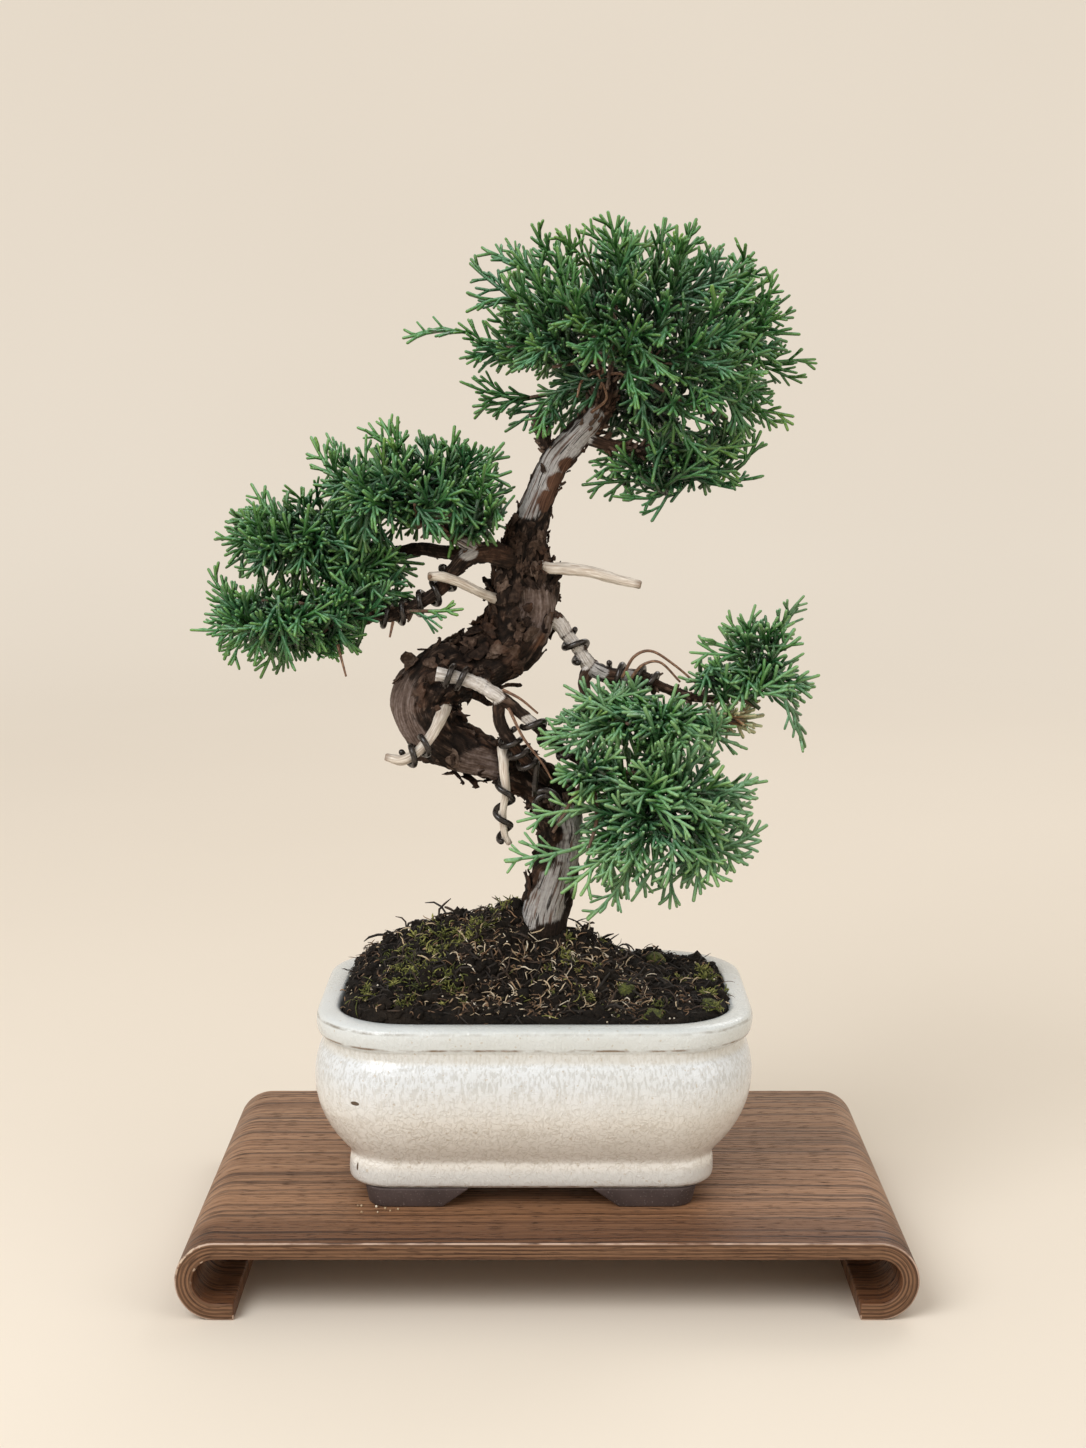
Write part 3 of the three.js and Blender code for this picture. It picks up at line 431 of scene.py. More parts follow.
def throw_pot():
    pot = bmesh.new()
    worn = pot.verts.layers.float.new("worn")
    rings = loft(pot, [rounded_ring(*ring) for ring in POT_RINGS])
    for index in POT_WORN:
        for vert in rings[index]:
            vert[worn] = 1
    pot.faces.new(rings[0])
    pot.faces.new(rings[-1])
    turn_outward(pot)
    bmesh.ops.inset_individual(pot, faces=[face for face in pot.faces if len(face.verts) > 4], thickness=3)
    return pot


def drain_drills():
    radius, from_centre, depth = 7.5, 26, 20
    drills = bmesh.new()
    for side in (-1, 1):
        place = Matrix.Translation((POT_CENTRE + side * from_centre, 0, POT_RINGS[0][3]))
        bmesh.ops.create_cone(
            drills, cap_ends=True, segments=48, radius1=radius, radius2=radius, depth=depth, matrix=place,
        )
    return drills


def cream_glaze():
    material, tree = start_material("cream_glaze", {
        "Roughness": 0.2, "Coat Weight": 0.5, "Coat Roughness": 0.15,
    })
    place = object_place(tree)
    height = place.axis("Z")
    clouds = place.patches(28, 0.3, 0.7, 4)
    runs = object_place(tree, (1, 1, 0.32)).patches(1150, 0.47, 0.6, 2)
    swirl = add_node(tree, "ShaderNodeTexNoise", {
        "Vector": place, "Scale": 430, "Detail": 1, "Distortion": 0.6,
    }, "Fac")
    swirl = (swirl - 0.5).math("ABSOLUTE").between(0.07, 0.01)
    warm = mix((0.72, 0.695, 0.645), (0.78, 0.76, 0.72), clouds)
    warm = mix(warm, (0.57, 0.535, 0.475), swirl * 0.6)
    cool = mix((0.65, 0.675, 0.685), (0.69, 0.73, 0.775), clouds)
    cool = mix(cool, (0.46, 0.465, 0.45), runs * 0.6)
    color = mix(warm, cool, height.between(0.058, 0.072))
    color = mix(color, (0.62, 0.625, 0.61), height.between(0.0405, 0.038) * 0.85)
    # Painted shade: the neck under the rim is darker and warmer from 77.5 mm up to the rim
    color = mix(color, (0.56, 0.53, 0.46), height.between(0.0775, 0.079) * 0.5)
    rim = mix((0.58, 0.605, 0.59), (0.655, 0.69, 0.70), clouds)
    color = mix(color, rim, height.between(0.0815, 0.083))

    broken = object_place(tree, (1, 1, 2.5)).patches(190, 0.36, 0.6, 6)
    thin = read_attribute(tree, "worn").between(0.72, 0.9) * broken
    corners = place.axis("X").math("ABSOLUTE").between(0.045, 0.062, 0.3, 1)
    top = height.math("GREATER_THAN", 0.086)
    line = mix((0.17, 0.105, 0.055), (0.25, 0.235, 0.205), top)
    color = mix(color, line, thin * mix((0.9, 0.9, 0.9), corners, top))
    for middle, shrink, reach in POT_PITS:
        gap = place.vector("SUBTRACT", middle).vector("MULTIPLY", shrink).vector("LENGTH", output="Value")
        color = mix(color, (0.07, 0.04, 0.02), (gap + clouds * 0.0004).math("LESS_THAN", reach))
    color = mix(color, (0.42, 0.34, 0.24), place.patches(700, 0.7, 0.74, 1) * 0.5)
    relief = swirl * 0.3 - runs * 0.35 + clouds * 0.8
    return finish_material(material, color, relief, 0.0004, 0.5, Roughness=clouds * 0.12 + 0.2)


def cut_out(piece, shape):
    """Cuts a shape out of a piece, and bakes the piece's modifiers into its mesh."""
    cutter = link_piece("cutter", shape, piece.data.materials[0])
    cut = piece.modifiers.new("cut", "BOOLEAN")
    cut.object = cutter
    cut.solver = "EXACT"
    shown = piece.evaluated_get(bpy.context.evaluated_depsgraph_get())
    mesh = bpy.data.meshes.new_from_object(shown)
    piece.modifiers.clear()
    piece.data = mesh
    bpy.data.objects.remove(cutter)


pot = link_piece("pot_body", throw_pot(), cream_glaze())
smoothing = pot.modifiers.new("smoothing", "SUBSURF")
smoothing.levels = smoothing.render_levels = 2
cut_out(pot, drain_drills())
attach(pot, "root")
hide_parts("pot")


# The pot's four corner feet: the bare, unglazed clay of the body, dark and slightly gritty,
# cut back with a slant on their inner sides.
def cut_feet():
    top_size, bottom_size = (56.5, 47.7, 8), (55, 47, 7.5)
    half_gap_x, half_gap_y = 20.8, 12
    gap_middle, slant = POT_CENTRE - 0.7, 9
    low, high = 26.3, POT_RINGS[0][3] + 0.3
    feet = bmesh.new()
    for side_x, side_y in ((-1, -1), (-1, 1), (1, -1), (1, 1)):
        foot = bmesh.new()
        for end in loft(foot, [rounded_ring(*bottom_size, low), rounded_ring(*top_size, high)]):
            foot.faces.new(end)
        for axis, side, gap in ((0, side_x, half_gap_x), (1, side_y, half_gap_y)):
            place = Vector((gap_middle, 0, high))
            place[axis] += side * gap
            lean = Vector((0, 0, -slant / (high - low)))
            lean[axis] = -side
            cut = bmesh.ops.bisect_plane(
                foot, geom=foot.verts[:] + foot.edges[:] + foot.faces[:], plane_co=place,
                plane_no=lean, clear_outer=True,
            )["geom_cut"]
            edges = [item for item in cut if isinstance(item, bmesh.types.BMEdge)]
            bmesh.ops.edgeloop_fill(foot, edges=edges)
        round_arrises(turn_outward(foot), 0.6, 0.6)
        mesh = bpy.data.meshes.new("foot")
        foot.to_mesh(mesh)
        foot.free()
        feet.from_mesh(mesh)
        bpy.data.meshes.remove(mesh)
    return feet


def bare_clay():
    material, tree = start_material("bare_clay", {"Roughness": 0.7})
    place = object_place(tree)
    grit = place.patches(1500, 0.62, 0.7, 2)
    color = mix((0.040, 0.026, 0.024), (0.066, 0.045, 0.042), place.patches(90, 0.3, 0.7, 4))
    color = mix(color, (0.2, 0.16, 0.15), grit * 0.5)
    return finish_material(material, color, grit, 0.0002, 0.5)


feet = link_piece("pot_feet", cut_feet(), bare_clay())
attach(feet, "root")
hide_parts("pot")


# The drain screens: squares of black plastic mesh that keep the soil in, hidden under it.
def screen_plastic():
    material, tree = start_material("screen_plastic", {"Roughness": 0.55})
    place = object_place(tree, turn=(0, 0, math.radians(45)))
    weave = add_node(tree, "ShaderNodeTexBrick", {
        "Vector": place, "Scale": 900, "Mortar Size": 0.25, "Color1": (0.03, 0.035, 0.03, 1),
        "Color2": (0.045, 0.05, 0.045, 1), "Mortar": (0.012, 0.014, 0.012, 1),
    }, "Color")
    color = mix(weave, (0.06, 0.045, 0.035), place.patches(300, 0.5, 0.7, 4) * 0.4)
    return finish_material(material, color, Shade(weave.socket.node.outputs["Fac"]), 0.0003, 0.6)


screen_material = screen_plastic()
for node in ("drain_screen_left", "drain_screen_right"):
    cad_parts[node].data.materials.clear()
    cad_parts[node].data.materials.append(screen_material)


# The soil: dark, crumbly and moist, pressed against the pot's wall and heaped up round the
# foot of the trunk, steepest in front and on the right.
SOIL_EDGE, SOIL_PEAK, SOIL_LEFT = 91, Vector((-8, 2, 121.5)), 3
# The trunk's middle line and its radii, from inside the soil to its top
TRUNK = [
    (-3, 2, 96, 9.6), (-2.4, 2, 109, 9.4), (-0.6, 2, 119, 8.6), (1.5, 2, 127, 8.2), (4.3, 2, 137, 7.6),
    (5, 1, 148, 8), (2.6, 0, 158.6, 8), (-5.8, -2, 166, 7.7), (-16.3, -4, 171.4, 7.3),
    (-28.4, -5, 175.6, 8.4), (-38.4, -5, 181.8, 10.3), (-42.4, -3, 191.2, 11.5), (-36.8, 0, 200, 11.3),
    (-24.6, 3, 205, 11), (-13.6, 4, 212, 11.4), (-8.4, 4, 223, 11.6), (-7.9, 3, 233.8, 10.8),
    (-8.2, 2, 241.5, 9.2), (-6.8, 1, 250, 7), (-4, 0, 259, 5.6), (-0.8, 0, 267, 5.3),
    (3.4, 0, 276, 5.2), (9.8, 0, 283.3, 4.8), (15.8, 0, 289.6, 4.6), (19.4, 0, 297, 4.2),
    (21.2, 0, 305.6, 3.1),
]


def on_line(points, places):
    """Points on a smooth line through the given ones, at places counted in points."""
    points = np.asarray(points, float)
    padded = np.vstack([2 * points[0] - points[1], points, 2 * points[-1] - points[-2]])
    places = np.clip(np.asarray(places, float), 0, len(points) - 1)
    before = np.minimum(places.astype(int), len(points) - 2)
    t = (places - before)[:, None]
    a, b, c, d = (padded[before + k] for k in range(4))
    square, cube = 2 * a - 5 * b + 4 * c - d, 3 * b - a - 3 * c + d
    return 0.5 * (2 * b + (c - a) * t + square * t ** 2 + cube * t ** 3)


def whole_line(points, count):
    return on_line(points, np.linspace(0, len(points) - 1, count))


def run_along(line):
    """How far along a line each of its points is."""
    return np.concatenate([[0], np.cumsum(np.linalg.norm(np.diff(line, axis=0), axis=1))])


def carry_frames(line, side=(0.31, 0.95, 0.05)):
    """A line's heading at each of its points, and two directions square to it, without a twist."""
    heading = np.gradient(line, axis=0)
    heading /= np.linalg.norm(heading, axis=1, keepdims=True)
    sides = np.empty_like(heading)
    for index, ahead in enumerate(heading):
        side = side - np.dot(side, ahead) * ahead
        side = side / np.linalg.norm(side)
        sides[index] = side
    return heading, sides, np.cross(heading, sides)


def grow_stem(shape, line, radii, sides, relief=None, side=(0.31, 0.95, 0.05)):
    """A closed stem along a line; relief gives each ring's rises, and grain runs lengthwise."""
    _, out, across = carry_frames(line, side)
    turns = np.arange(sides) * math.tau / sides
    grain = shape.verts.layers.float_vector.get("grain")
    rings = []
    for index, centre in enumerate(line):
        reach = radii[index] + (relief(index, turns) if relief else 0 * turns)
        ring = centre + reach[:, None] * (
            np.sin(turns)[:, None] * out[index] + np.cos(turns)[:, None] * across[index])
        rings.append([tuple(point) for point in ring])
    rings = loft(shape, rings)
    shape.faces.new(rings[0])
    shape.faces.new(rings[-1])
    for ring, along in zip(rings, run_along(line)) if grain else ():
        for vert, turn in zip(ring, turns):
            round_it = Vector((math.cos(turn), math.sin(turn), 0)) * float(radii.max())
            vert[grain] = Vector(line[0]) + round_it + Vector((0, 0, along))
    return rings


def raise_spot(spot, share, angle):
    """Lifts a spot onto the heap, at a share of the way from its peak to the pot's wall."""
    mound_x, mound_y, mound_height, mound_spread = 13, 3, 5, 90
    steepness = 1.6 + 0.7 * math.cos(angle) - 0.3 * math.sin(angle)
    spot.z = SOIL_EDGE + (SOIL_PEAK.z - SOIL_EDGE) * (1 - share) ** steepness
    spot.z += SOIL_LEFT * share * max(0, -math.cos(angle))
    from_mound = (spot.x - mound_x) ** 2 + (spot.y - mound_y) ** 2
    spot.z += mound_height * math.exp(-from_mound / mound_spread)


def heap_soil():
    floor, gap, steps = 39.3, 0.4, 61
    detail = {"corner_steps": 16, "side_steps": 34}
    soil = bmesh.new()
    rings = []
    for half_x, half_y, corner, z in reversed(POT_RINGS[POT_INSIDE:]):
        rings.append(rounded_ring(half_x - gap, half_y - gap, corner - gap, max(z, floor), **detail))
    half_x, half_y, corner, _ = POT_RINGS[POT_INSIDE]
    edge = rounded_ring(half_x - 0.5, half_y - 0.5, corner - 0.5, SOIL_EDGE, **detail)
    for step in range(steps):
        share = 0.985 * (1 - step / steps)
        ring = []
        for point in edge:
            spot = SOIL_PEAK.lerp(point, share)
            raise_spot(spot, share, math.atan2(point.y, point.x - POT_CENTRE))
            lumps = 3.2 * noise.fractal(spot / 14, 0.9, 2, 3)
            near, far = noise.voronoi(spot / 2.6)[0][:2]
            crumbs = 1.1 * min(1, 2.2 * (far - near)) - 0.5 + 0.9 * noise.noise(spot / 1.7)
            spot.z += (lumps + crumbs) * min(1, 4 * (1 - share) + 0.25)
            ring.append(spot)
        rings.append(ring)
    rings = loft(soil, rings)
    soil.faces.new(rings[0])
    bmesh.ops.pointmerge(soil, verts=rings[-1], merge_co=SOIL_PEAK - Vector((0, 0, 1)))
    return turn_outward(soil)


def moist_soil():
    material, tree = start_material("moist_soil", {"Roughness": 0.9, "Specular IOR Level": 0.25})
    place = object_place(tree)
    clods = place.patches(160, 0.35, 0.65, 5)
    grit = place.patches(900, 0.45, 0.65, 4)
    color = mix((0.003, 0.002, 0.001), (0.010, 0.007, 0.005), clods)
    color = mix(color, (0.030, 0.020, 0.012), grit * 0.35)
    color = mix(color, (0.060, 0.042, 0.027), place.patches(55, 0.5, 0.68, 4) * 0.2)
    return finish_material(material, color, grit + clods * 1.5, 0.0006, 0.9)


def trunk_plug():
    plug = bmesh.new()
    line = on_line(TRUNK, np.linspace(0, 3, 13))
    grow_stem(plug, line[:, :3], line[:, 3] + 0.35, 32)
    return turn_outward(plug)


soil = link_piece("soil_heap", heap_soil(), moist_soil())
cut_out(soil, trunk_plug())
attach(soil, "root")
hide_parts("soil")


# What lies on the soil: crumbs of it, curly dry roots, slivers of bark, and white specks of
# pumice, all strewn thickest in front of the trunk.
SOIL_MIDDLE, SOIL_SPREAD = (-3.5, -4), (66, 48)
soil_tree = BVHTree.FromObject(soil, bpy.context.evaluated_depsgraph_get())


def on_soil(x, y):
    """The point of the soil's surface over a place, in millimetres, and the way up from it."""
    above, lowest, trunk_reach = 0.15, 0.085, 10
    spot, normal, _, _ = soil_tree.ray_cast((x / 1000, y / 1000, above), (0, 0, -1))
    if spot is None or spot.z < lowest or math.hypot(x + 1, y - 2) < trunk_reach:
        return None, None
    return spot * 1000, normal


def pick_place(draw, middle=SOIL_MIDDLE, spread=SOIL_SPREAD):
    while True:
        x = middle[0] + spread[0] * draw.uniform(-1, 1)
        y = middle[1] + spread[1] * draw.uniform(-1, 1)
        spot, normal = on_soil(x, y)
        if spot is not None:
            return spot, normal


def keep_shape(shape):
    """A small shape made once to be copied often: its mesh and its points."""
    mesh = bpy.data.meshes.new("copied")
    turn_outward(shape).to_mesh(mesh)
    shape.free()
    if "tone" not in mesh.attributes:
        mesh.attributes.new("tone", "FLOAT", "POINT")
    points = np.empty(len(mesh.vertices) * 3)
    mesh.vertices.foreach_get("co", points)
    return mesh, points.reshape(-1, 3)


def set_all(mesh, name, values):
    mesh.attributes[name].data.foreach_set("value", np.broadcast_to(values, len(mesh.vertices)).copy())


def add_copy(target, kept, spot, directions, tone=None):
    mesh, points = kept
    mesh.vertices.foreach_set("co", (np.array(spot) + points @ directions).ravel())
    if tone is not None:
        set_all(mesh, "tone", tone)
    target.from_mesh(mesh)


def drop_shapes(shapes):
    for mesh, _ in shapes:
        bpy.data.meshes.remove(mesh)


def stand_on(normal, turn):
    """Two directions along a surface, turned about the third, which leads off it."""
    aside = np.cross(normal, (math.cos(turn), math.sin(turn), 0.01))
    aside /= np.linalg.norm(aside)
    return np.stack([np.cross(aside, normal), aside, normal])


def turned_on(normal, draw):
    return stand_on(np.array(normal), draw.uniform(0, math.tau))


def curl_root(draw):
    root = bmesh.new()
    way, bend, steps = 0, draw.gauss(0, 0.4), 4
    length, thick, arch = draw.uniform(2, 7.5), draw.uniform(0.11, 0.25), draw.uniform(0.1, 1.3)
    line = [(0, 0, 0.2)]
    for step in range(1, steps + 1):
        way += bend + draw.gauss(0, 0.3)
        x, y, _ = line[-1]
        lift = 0.2 + arch * math.sin(math.pi * step / steps)
        line.append((x + math.cos(way) * length / steps, y + math.sin(way) * length / steps, lift))
    grow_stem(root, np.array(line), thick * np.array([0.5, 1, 1.1, 1, 0.4]), 4, side=(0, 0.1, 1))
    return root


def strew_litter(draw):
    pieces, dark_curls, spilled = 2900, 420, 9
    front_middle, front_spread = (2, -20), (34, 20)
    front_shades = (0.1, 0.25, 0.45, 0.62, 0.8, 0.9)
    shades = (-0.1, -0.05, 0, 0, 0.05, 0.1, 0.15, 0.3, 0.5, 0.75)
    litter = bmesh.new()
    litter.verts.layers.float.new("tone")
    roots = [keep_shape(curl_root(draw)) for _ in range(36)]
    chip = bmesh.new()
    bmesh.ops.create_icosphere(chip, subdivisions=1, radius=1)
    chip = keep_shape(chip)
    for index in range(pieces):
        crowded = index % 4 == 0
        spot, normal = pick_place(draw, front_middle, front_spread) if crowded else pick_place(draw)
        normal = np.array(normal) + [draw.gauss(0, 0.35), draw.gauss(0, 0.35), 0]
        directions = turned_on(normal / np.linalg.norm(normal), draw)
        if index % 9 < 7:
            root = draw.choice(roots)
            add_copy(litter, root, spot, directions, draw.choice(front_shades if crowded else shades))
        elif index % 9 < 8:
            size = np.diag([draw.uniform(0.7, 1.8), draw.uniform(0.3, 0.7), 0.25])
            add_copy(litter, chip, spot, size @ directions, draw.uniform(0.2, 0.62))
        else:
            size = draw.uniform(0.2, 0.42)
            add_copy(litter, chip, spot + Vector((0, 0, 0.3)), size * directions, draw.uniform(0.8, 1))
    for _ in range(dark_curls):
        spot, normal = pick_place(draw, SOIL_MIDDLE, (54, 36))
        directions = draw.uniform(1.4, 2.0) * turned_on(normal, draw)
        add_copy(litter, draw.choice(roots), spot, directions, draw.choice((-0.1, -0.05, 0, 0.05, 0.12)))
    for _ in range(spilled):
        spot = (draw.uniform(-64, -50), draw.uniform(-53, -46), 26.6)
        add_copy(litter, chip, spot, draw.uniform(0.3, 0.5) * np.eye(3), draw.uniform(0.6, 1))
    drop_shapes([*roots, chip])
    return litter


def strew_crumbs(draw):
    count, large_count, kinds, large_kinds = 2000, 380, 20, 12
    crumbs = bmesh.new()
    lumps = []
    for seed in range(kinds):
        lump = bmesh.new()
        bmesh.ops.create_icosphere(lump, subdivisions=2 if seed < large_kinds else 1, radius=1)
        for vert in lump.verts:
            vert.co *= 1 + 0.95 * noise.noise(vert.co * 1.3 + Vector((seed * 5, 0, 0)))
        lumps.append(keep_shape(lump))
    for index in range(count):
        spot, normal = pick_place(draw)
        large = index < large_count
        size = draw.uniform(0.9, 2.6) if large else draw.uniform(0.35, 0.8)
        lump = draw.choice(lumps[:large_kinds] if large else lumps[large_kinds:])
        add_copy(crumbs, lump, spot, size * turned_on(normal, draw))
    drop_shapes(lumps)
    return crumbs


def dry_litter():
    material, tree = start_material("dry_litter", {"Roughness": 0.75})
    mottle = object_place(tree).patches(700, 0.3, 0.7, 3)
    color = (read_attribute(tree, "tone") + mottle * 0.14 - 0.07).ramp(
        (0, 0.012, 0.008, 0.005), (0.25, 0.075, 0.042, 0.024), (0.5, 0.25, 0.145, 0.078),
        (0.75, 0.52, 0.40, 0.25), (1, 0.78, 0.72, 0.60))
    return finish_material(material, color)


for name, strewn, material in (
    ("soil_crumbs", strew_crumbs(random.Random(3)), soil.data.materials[0]),
    ("soil_litter", strew_litter(random.Random(4)), dry_litter()),
):
    piece = link_piece(name, strewn, material)
    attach(piece, "root")
    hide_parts("soil")


# The moss: soft tufts of curly fronds on the left slope, along the ridge and by the right
# rim, and four low cushions of it on the right, browned by drought.
MOSS = [
    # The middle of each patch of tufts, how far it spreads, and how many stand there
    ((-44, -31), 6, 15), ((-40, -23), 7, 16), ((-51, -20), 6, 10), ((-34, -29), 6, 10),
    ((-27, -9), 5, 13),
    ((-33, -9), 5, 11), ((-17, -1), 5, 12), ((-45, -5), 6, 12), ((-54, -5), 5, 7), ((-13, 7), 4, 6),
    ((5, -13), 4, 6), ((12, -32), 5, 4), ((-63, -35), 4, 7), ((58, -14), 4, 10), ((57, 10), 5, 12),
    ((57, -34), 4, 7), ((39, -36), 5, 5), ((20, 24), 12, 8), ((-40, 22), 14, 12), ((0, -20), 24, 16),
]
CUSHIONS = [((28, -22), 3), ((56, -27), 3.6), ((35, -38), 4.2), ((40, 26), 4)]


def curl_tuft(draw):
    fronds, steps = 15, 3
    tuft = bmesh.new()
    age = tuft.verts.layers.float.new("age")
    for _ in range(fronds):
        turn, lean = draw.uniform(0, math.tau), draw.uniform(0.3, 1.3)
        length, curl = draw.uniform(1.4, 3.8), draw.gauss(0, 0.7)
        line = [np.array([draw.gauss(0, 1), draw.gauss(0, 1), -0.3])]
        for _ in range(steps):
            way = (math.cos(turn) * math.sin(lean), math.sin(turn) * math.sin(lean), 0.3 + math.cos(lean))
            line.append(line[-1] + np.array(way) * length / steps)
            lean += 0.4
            turn += curl
        rings = grow_stem(tuft, np.array(line), np.array([0.26, 0.3, 0.25, 0.1]), 3)
        for share, ring in zip((0, 0.3, 0.7, 1), rings):
            for vert in ring:
                vert[age] = share
    return tuft


def grow_moss(draw):
    moss = bmesh.new()
    tone = moss.verts.layers.float.new("tone")
    moss.verts.layers.float.new("age")
    tufts = [keep_shape(curl_tuft(draw)) for _ in range(10)]
    strands = [keep_shape(curl_root(draw)) for _ in range(12)]
    for (x, y), spread, count in MOSS:
        for index in range(2 * count):
            spot, normal = on_soil(draw.gauss(x, spread * 0.75), draw.gauss(y, spread * 0.75))
            if spot is not None:
                directions = draw.uniform(0.5, 0.9) * turned_on(normal, draw)
                kept, paler = (draw.choice(strands), 0.4) if index % 3 else (draw.choice(tufts), 0)
                add_copy(moss, kept, spot, 1.3 * directions, draw.uniform(0.1, 1) + paler)
    drop_shapes([*tufts, *strands])
    for middle, radius in CUSHIONS:
        spot, normal = on_soil(*middle)
        sunk = Matrix.Translation(spot - normal * radius * 0.5)
        made = bmesh.ops.create_icosphere(moss, subdivisions=4, radius=radius, matrix=sunk)
        for vert in made["verts"]:
            swell = 0.5 * noise.noise(vert.co * 1.6) + 0.6 * noise.noise(vert.co / 2)
            vert.co += (vert.co - spot).normalized() * swell
            vert[tone] = 0.66 + 0.3 * noise.noise(vert.co)
    return moss


def green_moss():
    material, tree = start_material("green_moss", {"Roughness": 0.8})
    mottle = object_place(tree).patches(1300, 0.35, 0.65, 3)
    tone = read_attribute(tree, "tone") * 0.6 + read_attribute(tree, "age") * 0.45
    color = (tone - 0.1 + mottle * 0.25).ramp(
        (0, 0.010, 0.013, 0.004), (0.3, 0.030, 0.038, 0.008), (0.6, 0.125, 0.140, 0.022),
        (1, 0.46, 0.44, 0.13))
    return finish_material(material, color, mottle, 0.0004, 0.9)


moss = link_piece("moss_tufts", grow_moss(random.Random(5)), green_moss())
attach(moss, "root")
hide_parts("soil")


# The tree's wood: one stem that loops to the left and climbs back, in thick brown bark that
# splits lengthwise into curling plates, bleached to bare grey wood at a few old wounds.
# The branches grow out of it with thinner, tighter bark.
BRANCHES = {
    "right": [(-6, 2, 224, 4), (3.2, 2, 220.6, 3.1), (7.4, 1, 215.2, 2.4), (11.9, 0, 209.7, 2.4),
              (15.6, 0, 204.4, 2.9), (22, 0, 201.5, 2.9), (32.4, 0, 201, 2.4), (39.4, 0, 197.8, 1.9),
              (46.7, 0, 195, 1.7), (54, 0, 193.4, 1.5), (63.8, 0, 193.9, 1.3)],
    "right_down": [(15, 0, 205, 2.4), (12.9, -3, 199.5, 2.1), (14, -6, 195.5, 1.9), (17.3, -8, 192, 1.7)],
    "front": [(-37.5, -19, 204.4, 2.4), (-29.6, -19, 203, 2.3), (-22.7, -19, 200.6, 2.4),
              (-15.9, -19, 196.4, 2.3), (-9.2, -18, 191.2, 2.1), (-2.3, -18, 185, 1.8),
              (4.5, -18, 179, 1.6),
              (12.6, -19, 173.4, 1.5)],
    "front_stub": [(-22, 0, 204, 4), (-22.6, -10, 202, 3.4), (-21.6, -19, 200, 2.6)],
    "inner": [(-16.5, -18, 196.4, 2.2), (-16, -18, 188, 2.2), (-12, -17.5, 180.5, 2.1),
              (-6.5, -16, 173.4, 1.9),
              (-2.5, -12, 168.5, 1.9), (0, -6, 165, 2.2)],
    "left": [(-8, -2, 242, 5), (-14.3, -4, 243.3, 4.2), (-21.1, -7, 244.8, 3.8), (-26.8, -9, 243.6, 3.4),
             (-32.3, -10, 238.2, 2.6), (-36.4, -11, 232.5, 2.3), (-41.8, -12, 228.5, 2.1),
             (-48.3, -12, 225.1, 2.2), (-54.1, -12, 223.4, 2.2), (-60.3, -11, 223.8, 1.8),
             (-67.2, -10, 224.6, 1.5)],
    "left_up": [(-20.8, -6, 244, 3), (-26.4, -10, 248, 2.5), (-33, -12, 251.4, 2.1),
                (-41.3, -12, 253.6, 1.8)],
    "left_middle": [(-27, -8, 243.6, 2.8), (-35, -2, 244.4, 2.4), (-44, 3, 245.2, 2.3),
                    (-54, 4, 243.6, 2.2),
                    (-63, 4, 244.1, 1.6)],
    "crown_low": [(11, 0, 285, 3), (18.6, -1, 281.6, 2.1), (28, -2, 280, 1.9), (38.6, -3, 278, 1.5)],
    "crown_left": [(3, 1, 275, 2.4), (-0.8, 0, 283, 1.9), (-2, 0, 290, 1.3)],
}
# Where the trunk is not in rough bark: bare silvery wood, smooth young bark, bleached wood, or
# bark that has just come off and left it red-brown; the middle of each patch and its reach
SKINS = {
    "bare": [
        ((-7, -5, 261), 5.5), ((-4, -5.5, 266), 6), ((-0.5, -6, 271), 6), ((3, -6, 276), 6),
        ((7, -5.5, 281), 6),
        ((12, -5, 285), 5.5), ((16, -4.5, 290), 4), ((-8, -5, 117), 6), ((-2, -7, 121), 7),
        ((4, -7, 122), 7), ((0, -7, 129), 5), ((7, -6, 130), 7),
        ((10, -3, 139), 7), ((11, -3, 147), 6), ((7, -7, 153), 5), ((2, 10, 140), 9), ((3, 9, 268), 7),
        ((18, -2, 203), 3.5), ((28, -2, 201), 3), ((-27, -13, 246), 4),
    ],
    "smooth": [
        ((-52, -5, 191), 13), ((-47, -11, 181), 8), ((-1, -8, 226), 9), ((0, -7, 217), 7),
        ((-24, -12, 170), 8),
        ((-35, 10, 188), 10), ((-6, 14, 228), 9),
    ],
    "white": [
        ((-37, -20, 204), 6), ((-30, -21, 203), 6), ((-25, -21, 201), 5), ((-18, -21, 198), 4),
        ((-6, -20, 188), 3),
        ((5, 0, 218.5), 4), ((9, -1, 213), 4), ((13, -2, 207), 3.5),
    ],
    "chestnut": [((4, -5, 268), 4.5), ((1, -5.5, 262), 4.5), ((7, -5, 274), 3.5), ((0, -8, 212), 6)],
}
# What the noise in the bark starts from, so that its ripples are the same each time
noise.seed_set(4)


def start_bark():
    shape = bmesh.new()
    shape.verts.layers.float_vector.new("grain")
    return shape, {kind: shape.verts.layers.float.new(kind) for kind in SKINS}


def skin_share(kind, point):
    share = max(1.25 - (point - Vector(centre)).length / reach for centre, reach in SKINS[kind])
    return min(1, max(0, 1.6 * share + 0.35 * noise.noise(point / 2.5)))


def mark_skins(rings, skins):
    for ring in rings:
        for vert in ring:
            for kind, layer in skins.items():
                vert[layer] = skin_share(kind, vert.co)


def stem_line(points, spacing, blunt):
    """A branch's middle line and its radii at even steps, drawn in at its end."""
    length = sum((Vector(a[:3]) - Vector(b[:3])).length for a, b in zip(points, points[1:]))
    line = whole_line(points, int(length / spacing))
    line[-1, 3] *= blunt
    return line[:, :3], line[:, 3]


